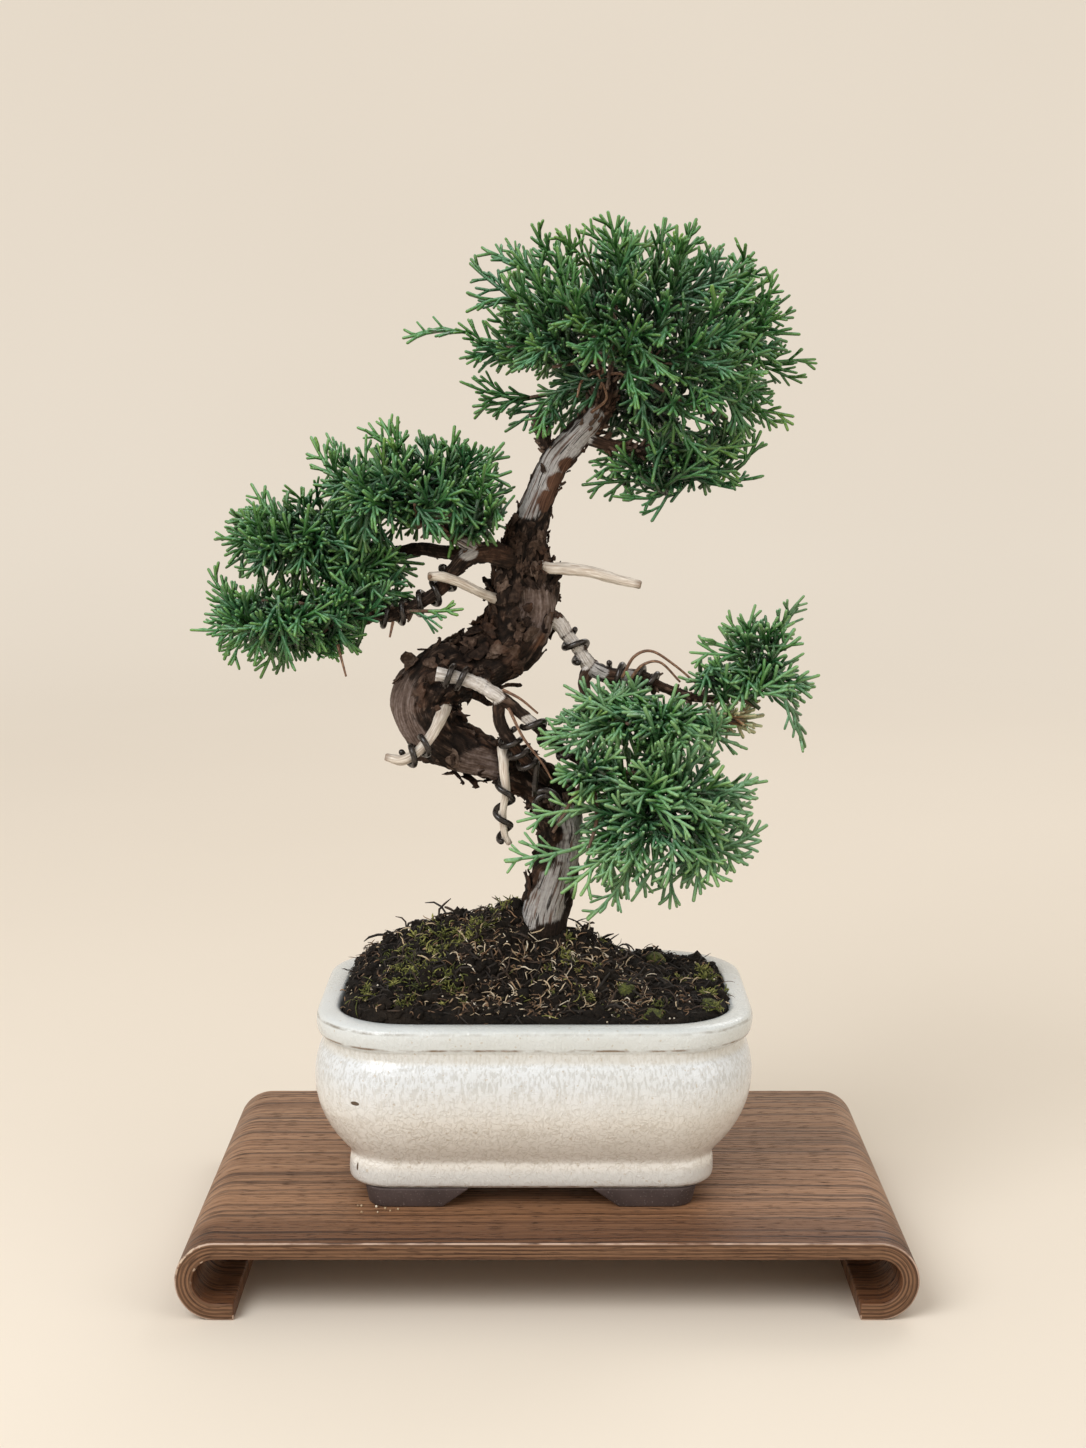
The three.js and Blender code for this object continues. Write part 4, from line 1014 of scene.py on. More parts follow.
def grow_trunk():
    rough_line = whole_line(TRUNK, 2000)
    rough_run = run_along(rough_line[:, :3])
    run = np.linspace(0, rough_run[-1], 350)
    line = np.stack([np.interp(run, rough_run, rough_line[:, axis]) for axis in range(4)], axis=1)
    line, radii = line[:, :3], line[:, 3]
    _, out, across = carry_frames(line)
    trunk, skins = start_bark()

    def relief(index, turns):
        """Flutes, and over them long plates that tilt and crack apart except on a plain skin."""
        rises = []
        height, radius = line[index][2], float(radii[index])
        fade = min(1, max(0, (height - 114) / 8)) * (1 - 0.5 * min(1, max(0, (height - 240) / 25)))
        for turn in turns:
            flutes = 0.07 * math.sin(3 * turn + height * 0.11) + 0.05 * math.sin(5 * turn - height * 0.2)
            round_x, round_y = 8 * math.cos(turn), 8 * math.sin(turn)
            spot = Vector((round_x, round_y, run[index]))
            swayed = spot + 2.2 * noise.noise_vector(spot / 9)
            plates = Vector((swayed.x / 3.4, swayed.y / 3.4, swayed.z / 8))
            (near, far, *_), (cell, *_) = noise.voronoi(plates)
            crack = min(1, 3.2 * (far - near))
            own = noise.cell(cell * 7.3)
            tilt = (plates.z - cell.z) * (1.6 * own - 0.5)
            fibres = noise.fractal(Vector((round_x * 1.4, round_y * 1.4, run[index] / 5)), 0.8, 2, 4)
            centre = Vector(line[index]) + radius * (
                math.sin(turn) * Vector(out[index]) + math.cos(turn) * Vector(across[index]))
            plain = max(skin_share(kind, centre) for kind in SKINS)
            rough = -0.9 + 1.0 * crack + 0.9 * own * crack + 0.9 * tilt * crack + 0.45 * fibres
            smooth = -0.5 + 0.14 * fibres + 0.4 * own * crack + 0.15 * crack
            rises.append(fade * (radius * flutes + (1 - plain) * rough + plain * smooth))
        return np.array(rises)

    mark_skins(grow_stem(trunk, line, radii, 76, relief), skins)
    return turn_outward(trunk)


def grow_branches():
    branches, skins = start_bark()
    for points in BRANCHES.values():
        line, radii = stem_line(points, 0.7, 0.6)

        def relief(index, turns):
            rises = []
            for turn in turns:
                spot = Vector((2.4 * math.cos(turn), 2.4 * math.sin(turn), index * 0.35))
                spot += Vector(points[0][:3])
                near, far = noise.voronoi(Vector((spot.x / 1.6, spot.y / 1.6, spot.z / 2.6)))[0][:2]
                rises.append(0.3 * min(1, 3 * (far - near)) - 0.2 + 0.35 * noise.fractal(spot / 2, 0.9, 2, 3))
            return np.array(rises) * min(1, radii[index] / 2.4)

        mark_skins(grow_stem(branches, line, radii, 16, relief), skins)
    return turn_outward(branches)


def juniper_bark():
    material, tree = start_material("juniper_bark", {"Roughness": 0.85, "Specular IOR Level": 0.18})
    place = object_place(tree)
    grain = read_attribute(tree, "grain", "Vector").stretched((1, 1, 0.12))
    clouds = place.patches(75, 0.35, 0.65, 4)
    fine = place.patches(700, 0.35, 0.7, 5)
    streaks = grain.patches(1.1, 0.32, 0.68, 5)
    threads = grain.patches(3.2, 0.4, 0.62, 3)
    # Painted shade and highlight: by how the surface curves, the bark is near black in its crevices and
    # lighter on its crests and plate edges; the real bark's cracks are darker too
    crest_light_and_crevice_shade = add_node(tree, "ShaderNodeNewGeometry", output="Pointiness").between(0.42, 0.58)
    crest_light_and_crevice_shade = crest_light_and_crevice_shade + (streaks - 0.5) * 0.35
    color = crest_light_and_crevice_shade.ramp(
        (0, 0.002, 0.001, 0.001), (0.4, 0.006, 0.004, 0.003), (0.72, 0.022, 0.013, 0.009),
        (1, 0.17, 0.115, 0.085))
    loose = read_attribute(tree, "tone")
    plate = (loose * 0.55 + (fine * 0.3 + clouds * 0.2)).ramp(
        (0, 0.005, 0.003, 0.002), (0.35, 0.024, 0.014, 0.010), (0.7, 0.090, 0.057, 0.041),
        (1, 0.26, 0.19, 0.15))
    color = mix(color, plate, loose.math("GREATER_THAN", 0.01))
    chestnut = mix((0.045, 0.021, 0.013), (0.155, 0.078, 0.047), streaks)
    color = mix(color, chestnut, place.patches(120, 0.5, 0.6, 4) * 0.6 * crest_light_and_crevice_shade)
    color = mix(color, (0.09, 0.058, 0.042), fine * 0.15)
    color = mix(color, (0.012, 0.008, 0.006), clouds * 0.3)

    uneven = streaks * 0.45 + fine * 0.3 + (crest_light_and_crevice_shade - 0.2) * 0.4
    smooth = uneven.ramp((0, 0.045, 0.029, 0.022), (0.45, 0.125, 0.088, 0.072), (1, 0.27, 0.215, 0.195))
    silver = uneven.ramp((0, 0.20, 0.175, 0.165), (0.4, 0.40, 0.385, 0.375), (1, 0.58, 0.565, 0.55))
    silver = mix(silver, (0.15, 0.115, 0.10), threads * 0.14)
    silver = mix(silver, chestnut, grain.patches(0.45, 0.56, 0.62, 5) * 0.85)
    silver = mix(silver, (0.012, 0.008, 0.006), grain.patches(0.7, 0.6, 0.64, 2) * 0.9)
    white = streaks.ramp((0, 0.36, 0.31, 0.27), (0.4, 0.60, 0.56, 0.52), (1, 0.78, 0.75, 0.72))
    white = mix(white, (0.20, 0.15, 0.12), threads * 0.2)
    for kind, skin in (("smooth", smooth), ("bare", silver), ("white", white), ("chestnut", chestnut)):
        color = mix(color, skin, (read_attribute(tree, kind) + threads * 0.2).between(0.45, 0.75))
    return finish_material(material, color, fine + threads * 0.45, 0.0005, 0.8)


bark_material = juniper_bark()
for name, stems in (("trunk_bark", grow_trunk()), ("branch_bark", grow_branches())):
    piece = link_piece(name, stems, bark_material)
    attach(piece, "root")
    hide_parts("tree_wood")


# The loose bark: thin brown plates that have split off the wood and curl away from it, most
# of them above the loop, and the peg-like stumps of old leaves near the ends of the wood.
FLAKY = [
    ((-10, 0, 240), 17), ((-5, 0, 222), 15), ((-22, 2, 210), 14), ((-36, 2, 203), 11),
    ((-16, -3, 170), 12),
    ((-32, -6, 176), 9), ((-2, 0, 154), 10), ((-8, 2, 251), 9),
]
# The stems with loose plates, and how many places on each are tried for one
FLAKY_STEMS = [(TRUNK, 1300)] + [
    (BRANCHES[name], 60) for name in ("left", "left_middle", "left_up", "right", "front_stub")]
# The stems with leaf stumps, the point of each from which they stand, and how many
PEGGED_STEMS = [
    (TRUNK, 22.4, 90), (BRANCHES["crown_left"], 0.4, 40), (BRANCHES["crown_low"], 1, 30),
    (BRANCHES["left"], 6.5, 26), (BRANCHES["left_up"], 0.5, 20), (BRANCHES["right"], 6, 24),
]


def curl_flake(draw):
    length, width = draw.uniform(4.5, 8.5), draw.uniform(3, 5.5)
    curl, cup, seed = draw.uniform(0.05, 0.42), draw.uniform(-0.2, 0.25), draw.uniform(0, 99)
    flake = bmesh.new()
    bmesh.ops.create_grid(flake, x_segments=5, y_segments=4, size=0.5)
    for vert in flake.verts:
        along, aside = vert.co.x + 0.5, vert.co.y * 2
        ragged = 1.8 * noise.noise_vector(Vector((2.2 * along, 1.6 * aside, seed)))
        narrow = 1 - 0.35 * along ** 2
        vert.co = (
            length * (along + 0.2 * ragged.x - 0.2 * aside ** 2 * along),
            width * (0.5 * aside * narrow + 0.16 * ragged.y),
            length * (curl * along ** 2 + 0.08 * ragged.z) + width * cup * aside ** 2)
    bmesh.ops.solidify(flake, geom=flake.faces[:], thickness=0.36)
    return flake


def flake_chance(here, radius):
    """How likely a loose plate is at a place: most near the flaky spots, least on a plain skin."""
    flaky = max(1.5 - (here - Vector(centre)).length / reach for centre, reach in FLAKY)
    plain = max(skin_share(kind, here) * (0.75 if kind == "smooth" else 1) for kind in SKINS)
    return max(0.14, flaky) * (1 - 0.95 * plain) * min(1, radius / 6 + 0.35)


def lay_flakes(draw):
    lowest = 122
    flakes = bmesh.new()
    flakes.verts.layers.float.new("tone")
    shapes = [keep_shape(curl_flake(draw)) for _ in range(14)]
    for points, count in FLAKY_STEMS:
        line = whole_line(points, 40 * len(points))
        heading, out, across = carry_frames(line[:, :3])
        for _ in range(count):
            index, turn = draw.randrange(len(line)), draw.uniform(0, math.tau)
            normal = math.sin(turn) * out[index] + math.cos(turn) * across[index]
            radius = line[index][3]
            spot = line[index][:3] + normal * (radius + (0.3 if radius > 4.5 else -0.1))
            if spot[2] < lowest or draw.random() > flake_chance(Vector(spot), radius):
                continue
            spin, lean = draw.gauss(0, 0.5) + draw.choice((0, math.pi)), draw.uniform(-0.05, 0.4)
            ahead = math.cos(spin) * heading[index] + math.sin(spin) * np.cross(normal, heading[index])
            ahead = math.cos(lean) * ahead + math.sin(lean) * normal
            aside = np.cross(normal, ahead) / np.linalg.norm(np.cross(normal, ahead))
            size = draw.uniform(0.4, 1.05) * min(1, 0.3 + radius / 13)
            directions = size * np.stack([ahead, aside, np.cross(ahead, aside)])
            add_copy(flakes, draw.choice(shapes), spot - ahead * 1.6, directions, draw.uniform(0.05, 1))
    drop_shapes(shapes)
    return flakes


def set_pegs(draw):
    """Stumps of old leaves round the last stretch of the trunk and of the thin branches."""
    pegs = bmesh.new()
    pegs.verts.layers.float_vector.new("grain")
    for points, first, count in PEGGED_STEMS:
        places = [draw.uniform(first, len(points) - 1) for _ in range(count)]
        line = on_line(points, sorted(places))
        heading, out, across = carry_frames(line[:, :3])
        for index, (x, y, z, radius) in enumerate(line):
            turn, length = draw.uniform(0, math.tau), draw.uniform(1.6, 3.8)
            normal = math.sin(turn) * out[index] + math.cos(turn) * across[index]
            root = np.array([x, y, z]) + normal * radius * 0.7
            way = normal + draw.uniform(0.3, 1.1) * heading[index]
            peg = np.array([root, root + way * length * 0.5, root + way * length * 0.8 + (0, 0, 0.4)])
            grow_stem(pegs, peg, np.array([0.75, 0.6, 0.3]), 5)
    return turn_outward(pegs)


for name, loose in (("bark_flakes", lay_flakes(random.Random(8))), ("leaf_pegs", set_pegs(random.Random(9)))):
    piece = link_piece(name, loose, bark_material)
    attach(piece, "root")
    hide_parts("tree_wood")


# The dead stubs: old branches stripped to bleached wood, cut off blunt with a knife.
STUBS = {
    "right": [(-6, 0, 239.6, 2.6), (0.4, -4, 239.2, 2.1), (6.2, -6, 239, 2), (14.7, -8, 238.1, 2),
              (24.9, -10, 235.5, 1.7), (32.1, -11, 233.9, 1.4)],
    "left": [(-12, 3, 226, 2.4), (-19.8, -5, 229.4, 1.7), (-24.1, -10, 231.9, 1.6),
             (-30.8, -14, 235.6, 1.7),
             (-36.1, -16, 237.2, 1.7), (-40.1, -17, 237.2, 1.4)],
    "loop": [(-35, -6, 192.6, 2.8), (-37, -17, 187.4, 2), (-40, -23, 182.4, 1.7), (-44, -25, 178.4, 1.7),
             (-49, -26, 176, 1.7), (-54.6, -26, 177, 1.2)],
    "hanging": [(-14, -4, 178, 3.2), (-14.8, -13, 176.6, 2.2), (-14.6, -17.5, 171.6, 1.6),
                (-14, -18, 163.6, 1.4), (-15.1, -18, 156, 1.2), (-14.4, -18, 149, 1.2),
                (-12.6, -18, 145.4, 1)],
}
# A dark brown ball in the cut end of the left stub: painted shade where the end is hollow
HOLLOW = (-39.4, -18.4, 237.3)


def cut_stubs():
    stubs = bmesh.new()
    stubs.verts.layers.float_vector.new("grain")
    end = stubs.verts.layers.float.new("end")

    def relief(index, turns):
        return np.array([
            0.3 * noise.fractal(Vector((2 * math.cos(turn), 2 * math.sin(turn), index * 0.09)), 0.9, 2, 4)
            for turn in turns])

    for points in STUBS.values():
        rings = grow_stem(stubs, *stem_line(points, 0.6, 0.8), 24, relief)
        for index, ring in enumerate(reversed(rings)):
            for vert in ring:
                vert[end] = max(0, 1 - index / 5)
    # Painted shade: a brown ball where the cut end is hollow
    hollow = bmesh.ops.create_icosphere(
        stubs, subdivisions=2, radius=0.75, matrix=Matrix.Translation(HOLLOW))
    for vert in hollow["verts"]:
        vert[end] = 1.3
    return turn_outward(stubs)


def bleached_wood():
    material, tree = start_material("bleached_wood", {"Roughness": 0.7})
    lengthwise = read_attribute(tree, "grain", "Vector").stretched((1, 1, 0.14))
    grain = lengthwise.patches(1.6, 0.35, 0.65, 4)
    color = mix((0.42, 0.34, 0.27), (0.78, 0.73, 0.65), grain)
    color = mix(color, (0.24, 0.18, 0.13), lengthwise.patches(0.8, 0.5, 0.66, 4) * 0.5)
    color = mix(color, (0.16, 0.095, 0.055), read_attribute(tree, "end") * 0.75)
    return finish_material(material, color, grain, 0.0002, 0.5)


stubs = link_piece("dead_stubs", cut_stubs(), bleached_wood())
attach(stubs, "root")
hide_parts("tree_wood")


# The training wires: soft, dark anodised aluminium wound by hand round the branches that
# were bent, with one spare end rolled up flat in front of the trunk.
WIRES = {
    # The branch, the points between which the wire is wound, its turns, and where it starts
    "wire_front_end": (BRANCHES["front"], 0.25, 1.35, 2, 0.25),
    "wire_front_limb": (BRANCHES["front"], 4.4, 6.6, 2.5, 0.5),
    "wire_inner_twig": (BRANCHES["inner"], 1.55, 3.1, 3, 0),
    "wire_loop_stub": (STUBS["loop"], 2.1, 3.9, 2, 0.5),
    "wire_hanging_stub": (STUBS["hanging"], 2.2, 5.4, 2.5, 0.2),
    "wire_right_near": (BRANCHES["right"], 1.9, 3.4, 1.6, 0.1),
    "wire_right_far": (BRANCHES["right"], 4.8, 6.9, 3.5, 0),
    "wire_left_branch": (BRANCHES["left"], 4, 8.6, 5, 0.4),
}
WIRE_RADIUS, WIRE_GAP, WIRE_SIDES = 1.05, 0.25, 10
COIL = {"centre": (-0.5, -17, 159), "turns": 1.4, "start": 0.375, "outer": 5.2, "inner": 2.6}


def winding_route(points, low, high, turns, start):
    steps = int(turns * 16)
    line = on_line(points, np.linspace(low, high, steps + 1))
    _, out, across = carry_frames(line[:, :3])
    angle = (start + turns * np.arange(steps + 1) / steps) * math.tau
    reach = line[:, 3] + WIRE_RADIUS + WIRE_GAP
    return line[:, :3] + (reach * np.sin(angle))[:, None] * out + (reach * np.cos(angle))[:, None] * across


def coil_route():
    share = np.arange(0, 23) / 22
    angle = (COIL["start"] - COIL["turns"] * share) * math.tau
    reach = COIL["outer"] + (COIL["inner"] - COIL["outer"]) * share
    offset = np.stack([reach * np.cos(angle), 0 * angle, reach * np.sin(angle)], axis=1)
    return np.array(COIL["centre"]) + offset


def wind_wire(route):
    route = whole_line(route, 2 * len(route))
    radii = np.full(len(route), WIRE_RADIUS)
    radii[[0, -1]] *= 0.75
    wire = bmesh.new()
    grow_stem(wire, route, radii, WIRE_SIDES)
    return turn_outward(wire)


def dark_aluminium():
    material, tree = start_material("dark_aluminium", {"Roughness": 0.42, "Metallic": 0.15})
    place = object_place(tree)
    worn = place.patches(420, 0.5, 0.7, 4)
    color = mix((0.008, 0.006, 0.005), (0.022, 0.016, 0.013), place.patches(90, 0.3, 0.7, 3))
    color = mix(color, (0.085, 0.068, 0.058), worn * 0.5)
    return finish_material(material, color, worn, 0.0001, 0.4, Roughness=worn.between(0, 1, 0.22, 0.4))


wire_material = dark_aluminium()
for name, winding in WIRES.items():
    route = winding_route(*winding)
    if name == "wire_inner_twig":
        route = np.vstack([route, coil_route()])
    wire = link_piece(name + "_wound", wind_wire(route), wire_material)
    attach(wire, "root")
    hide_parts(name)


# The foliage: flat sprays of cord-like green branchlets, covered in tiny overlapping scale
# leaves, that fork from both sides of a midrib. They grow in dense tiers, each on a few
# brown twigs at the end of its branch, lighter at their tips and bluish where they are old.
# Their colour also holds painted light: painted shade on the old parts, the undersides and
# deep in each tier, a painted highlight on their upper sides, and the right-hand tiers brighter.
LONG, SHORT = 28, 18
SPRAY_KINDS, SPRAYS_A_PIECE = 20, 350
# Each tier: the end of its branch, the knot there, the middle that its sprays point away from,
# how thick its cords are and how much painted light brightens them, its twigs, the tips of the
# shoots that stick out of it, and the rounded masses that fill it: middle, half sizes, lowest
# direction, and how many long and short sprays end on them
TIERS = {
    "foliage_crown": {
        "hub": (22, 0, 311), "knot": 5, "middle": (29, 0, 312), "girth_and_painted_light": 1,
        "limbs": [
            [(24, 2, 332)], [(4, -3, 330)], [(2, 4, 313), (-14, 3, 314)], [(6, 8, 300), (-6, 7, 297)],
            [(48, -2, 330)], [(56, 2, 313), (68, 0, 309)], [(44, 5, 297), (62, 3, 290)], [(22, -22, 324)],
            [(2, -19, 307)], [(43, -22, 308)], [(20, -22, 300)], [(22, 22, 324)], [(2, 20, 305)],
            [(44, 22, 306)],
        ],
        "tips": [
            (-49, 4, 319), (-30, 2, 322), (-30, -4, 311), (-30, 0, 301), (-25, 4, 293), (-14, 8, 285),
            (-28, 2, 339), (-21, -4, 346), (-16, 6, 348), (-5, 0, 355), (3, -8, 352), (14, 2, 357),
            (21, 0, 359), (31, -6, 354), (41, 4, 357), (51, 0, 350), (58, -5, 345), (71, 3, 341),
            (73, -4, 330), (85, -6, 318), (91, 0, 313), (87, 4, 302), (84, -4, 290), (79, 6, 287),
            (-6, -7, 284), (22, -36, 298), (33, -36, 294), (41, -36, 301), (10, -36, 305),
        ],
        "masses": [
            ((29, 0, 316), (53, 43, 38), -0.35, 130, 270), ((36, 4, 297), (42, 36, 28), -0.75, 52, 80),
            ((33, 13, 293), (20, 13, 12), -1, 6, 26),
        ],
    },
    "foliage_crown_low": {
        "hub": (40.6, -3, 277.6), "knot": 2.2, "middle": (44, 0, 273), "girth_and_painted_light": 1,
        "limbs": [[(50, 0, 277)], [(36, -8, 274)], [(44, 6, 272)]],
        "tips": [
            (73, 0, 272), (64, -6, 271), (46, 2, 265), (39, -4, 263), (30, 4, 266), (22, -6, 262),
            (13, 7, 265), (56, 10, 268),
        ],
        "masses": [((40, 2, 274), (29, 20, 11), -1, 20, 8), ((48, 2, 283), (27, 20, 8), -1, 8, 12)],
    },
    "foliage_left_upper": {
        "hub": (-43.4, -12, 254.2), "knot": 2.6, "middle": (-44, -8, 263), "girth_and_painted_light": 1,
        "limbs": [
            [(-52, -8, 262), (-62, -4, 268)], [(-47, -6, 268)], [(-35, -8, 266)],
            [(-34, -18, 258), (-24, -19, 257)], [(-44, -24, 262)], [(-48, 4, 263)],
        ],
        "tips": [
            (-82, 0, 281), (-75, 4, 285), (-63, -2, 289), (-56, 3, 291), (-49, -5, 290), (-35, -4, 287),
            (-30, 4, 281), (-19, 0, 279), (-15, -8, 277), (-3, -18, 262), (-2, -20, 254), (-15, -23, 246),
            (-30, -29, 253),
        ],
        "masses": [
            ((-44, -8, 264), (35, 26, 22), -0.95, 58, 90), ((-20, -16, 257), (16, 12, 11), -1, 4, 12),
        ],
    },
    "foliage_left_middle": {
        "hub": (-65, 4, 244.6), "knot": 2.4, "middle": (-84, 2, 249), "girth_and_painted_light": 1,
        "limbs": [[(-76, 3, 250), (-90, 1, 252)], [(-70, 5, 256)], [(-78, 16, 249)], [(-80, -9, 249)]],
        "tips": [
            (-75, 2, 272), (-88, 4, 269), (-102, 0, 265), (-111, 5, 255), (-113, -4, 247), (-64, 14, 265),
        ],
        "masses": [
            ((-83, 2, 247), (30, 25, 20), -0.95, 44, 76), ((-63, 1, 241), (20, 20, 12), -1, 10, 28),
        ],
    },
    "foliage_left_lower": {
        "hub": (-69.4, -10, 224.8), "knot": 2.4, "middle": (-91, -5, 222), "girth_and_painted_light": 1,
        "limbs": [
            [(-82, -8, 226), (-98, -4, 228)], [(-86, -4, 217), (-97, -1, 214)], [(-76, -13, 218)],
            [(-84, 8, 225)], [(-84, -22, 229)],
        ],
        "tips": [
            (-117, 3, 238), (-117, -6, 230), (-119.8, -20, 218), (-109, -6, 206), (-100, 0, 201),
            (-92, 6, 202), (-81, -4, 210), (-62, -13, 212), (-71, -14, 208), (-60, -20, 236),
        ],
        "masses": [
            ((-87, -5, 222), (29, 26, 17), -1, 46, 80), ((-62, -8, 231), (18, 20, 11), -1, 10, 28),
        ],
    },
    "foliage_left_sprig": {
        "hub": (-47, -16, 225.4), "knot": 1.1, "middle": (-38, -16, 226), "girth_and_painted_light": 1,
        "limbs": [[(-40, -21, 226)]],
        "tips": [(-28, -25, 226), (-34, -25, 221)],
        "masses": [((-38, -16, 226), (8, 6, 4), -1, 0, 0)],
    },
    "foliage_right_upper": {
        "hub": (18.6, -8.6, 189.6), "knot": 2, "middle": (32, -8, 187), "girth_and_painted_light": 1.14,
        "limbs": [[(30, -7, 190), (44, -4, 187)], [(24, -2, 195)], [(12, -12, 191)], [(28, -18, 187)]],
        "tips": [
            (-4, -25, 186), (5, -12, 199), (25, -10, 203), (34, -7, 195), (46, -10, 190), (68, -3, 175),
            (-1, -24, 178),
        ],
        "masses": [((34, -8, 186), (33, 20, 13), -1, 30, 22)],
    },
    "foliage_right_lower": {
        "hub": (14.8, -19.4, 172), "knot": 2.6, "middle": (38, -15, 156), "girth_and_painted_light": 1.15,
        "limbs": [
            [(30, -17, 170), (48, -13, 166)], [(28, -18, 158), (46, -14, 150)],
            [(17, -22, 156), (14, -23, 144)], [(8, -24, 161), (2, -26, 151)], [(30, -30, 166)],
            [(36, 2, 164)],
        ],
        "tips": [
            (-14, -26, 141), (-10, -26, 155), (76, -10, 166), (76, -14, 149), (70, -8, 136),
            (60, -16, 134), (51, -10, 130), (39, -14, 122), (26, -19, 128), (16, -22, 119), (7, -26, 129),
            (70, -14, 159),
        ],
        "masses": [
            ((38, -14, 157), (34, 24, 32), -0.95, 70, 24), ((15, -25, 171), (13, 7, 12), -1, 6, 10),
        ],
    },
    "foliage_far_right": {
        "hub": (66, 0, 194.4), "knot": 1.8, "middle": (76, 0, 204), "girth_and_painted_light": 1.1,
        "limbs": [[(74, 0, 201), (77, 0, 208)], [(80, -1, 198)], [(74, -2, 190)]],
        "tips": [
            (85, 0, 231), (68, 2, 226), (55, -4, 217), (61, 4, 219), (50, 0, 207), (94, -3, 203),
            (94, 3, 195), (88, 0, 210), (89, -4, 177), (81, 5, 214), (86, -9, 206),
        ],
        "masses": [((74, 0, 204), (19, 11, 19), -0.8, 9, 8), ((60, -1, 199), (14, 9, 10), -1, 4, 14)],
    },
    "foliage_dead": {
        "hub": (53, -0.4, 189.8), "knot": 1.2, "middle": (64, 0, 186), "girth_and_painted_light": 1.3,
        "limbs": [[(61, 2, 186)]],
        "tips": [(76, 4, 186), (72, 4, 179), (75, 7, 189)],
        "masses": [((64, 0, 186), (12, 7, 5), -1, 0, 10)],
    },
}


def grow_spray(draw, reach):
    """A flat spray along X: a midrib, branchlets from its sides by turns, and their forks."""
    spray = bmesh.new()
    age = spray.verts.layers.float.new("age")

    def add_cord(start, heading, turning, rise, length, thick, thin, steps, old):
        points, spot = [start], np.array(start, float)
        for step in range(steps):
            share = (step + 1) / steps
            way = heading - turning * share
            ahead = np.array([math.cos(way), math.sin(way), rise * (1.6 * share - 0.4)])
            spot = spot + ahead * length / steps
            points.append(spot)
        line = np.array(points)
        end = line[-1] + (line[-1] - line[-2]) / np.linalg.norm(line[-1] - line[-2]) * thin * 0.8
        radii = np.append(np.linspace(thick, thin, steps + 1), thin * 0.5)
        rings = grow_stem(spray, np.vstack([line, end]), radii, 4, side=(0, 0.2, 1))
        for index, ring in enumerate(rings):
            for vert in ring:
                vert[age] = min(1, old + length * index / steps / reach)
        return line

    midrib = add_cord((0, 0, 0), draw.uniform(-0.1, 0.1), draw.uniform(-0.2, 0.2), draw.uniform(-0.1, 0.3),
                      reach, 0.8, 0.63, 4 if reach < 20 else 6, 0)
    x, side = draw.uniform(3.5, 6), draw.choice((-1, 1))
    while x < reach - 5.5:
        share = x / reach
        root = [np.interp(x, midrib[:, 0], midrib[:, axis]) for axis in range(3)]
        angle = side * math.radians(draw.uniform(30, 50))
        length = (0.44 * reach * (1 - share) ** 0.8 + 2.4) * draw.uniform(0.6, 1.15)
        bend = angle * draw.uniform(0.25, 0.7)
        branchlet = add_cord(root, angle, bend, draw.uniform(-0.4, 0.55), length, 0.69, 0.62, 2, share)
        run, fork = length * draw.uniform(0.4, 0.55), side
        while length > 6 and run < length - 2.6:
            place = np.linspace(0, length, len(branchlet))
            start = [np.interp(run, place, branchlet[:, axis]) for axis in range(3)]
            way = angle - bend * run / length + fork * math.radians(draw.uniform(24, 38))
            rise = draw.uniform(-0.3, 0.5)
            fork_length = ((length - run) * 0.7 + 1.6) * draw.uniform(0.8, 1.2)
            add_cord(start, way, fork * 0.25, rise, fork_length, 0.63, 0.58, 1, share + run / reach)
            run += draw.uniform(3.2, 4.8)
            fork = -fork
        x += draw.uniform(2.9, 4)
        side = -side
    return spray


def bend_spray(points, reach, route, facing, girth):
    """The points of a spray, laid along a route with its flat side turned to face one way."""
    line = whole_line(route, 33)
    run = run_along(line)
    heading, normal, across = carry_frames(line, facing)
    far = points[:, 0] / reach * run[-1]

    def along(values):
        return np.stack([np.interp(far, run, values[:, axis]) for axis in range(3)], axis=1)

    beyond = np.maximum(0, far - run[-1])[:, None] * heading[-1]
    return along(line) + beyond + girth * (points[:, 1:2] * along(across) + points[:, 2:3] * along(normal))


def wood_near(point, woods):
    """How far inside or beside the nearest wood a point is, and the way out of it."""
    spot, index, distance = woods["tree"].find(point)
    return distance - woods["radii"][index], (np.array(point) - np.array(spot)) / max(distance, 1e-6)


def plant_woods():
    spots, radii = [], []
    for points in [TRUNK, *BRANCHES.values(), *STUBS.values()]:
        for x, y, z, radius in whole_line(points, len(points) * 8):
            spots.append((x, y, z))
            radii.append(radius)
    tree = KDTree(len(spots))
    for index, spot in enumerate(spots):
        tree.insert(spot, index)
    tree.balance()
    return {"tree": tree, "radii": radii}


def spray_tips(tier, draw):
    """Where the sprays of a tier end: each one's tip, the way out of the tier there, its length."""
    golden_turn = math.pi * (3 - math.sqrt(5))
    square, flat_depth = 2.6, (1, 0.5, 1)
    size = LONG if tier["knot"] > 1.5 else SHORT
    tips = []
    for tip in tier["tips"]:
        tips.append((np.array(tip, float), (np.array(tip) - tier["middle"]) * flat_depth, size))
    for centre, half, lowest, *counts in tier["masses"]:
        for count, reach in zip(counts, (LONG, SHORT)):
            for k in range(count):
                y = 1 - 2 * (k + 0.5) / count
                turn, wide = k * golden_turn, math.sqrt(1 - y * y)
                way = np.array([wide * math.cos(turn), y, wide * math.sin(turn)])
                if way[2] > lowest:
                    swell = (np.abs(way) ** square).sum() ** (-1 / square)
                    depth = (1 - 0.45 * draw.random() ** 2) * draw.uniform(0.92, 1.1)
                    tip = np.array(centre) + way * half * swell * depth
                    tips.append((tip, way / half * min(half) * flat_depth, reach))
    return tips


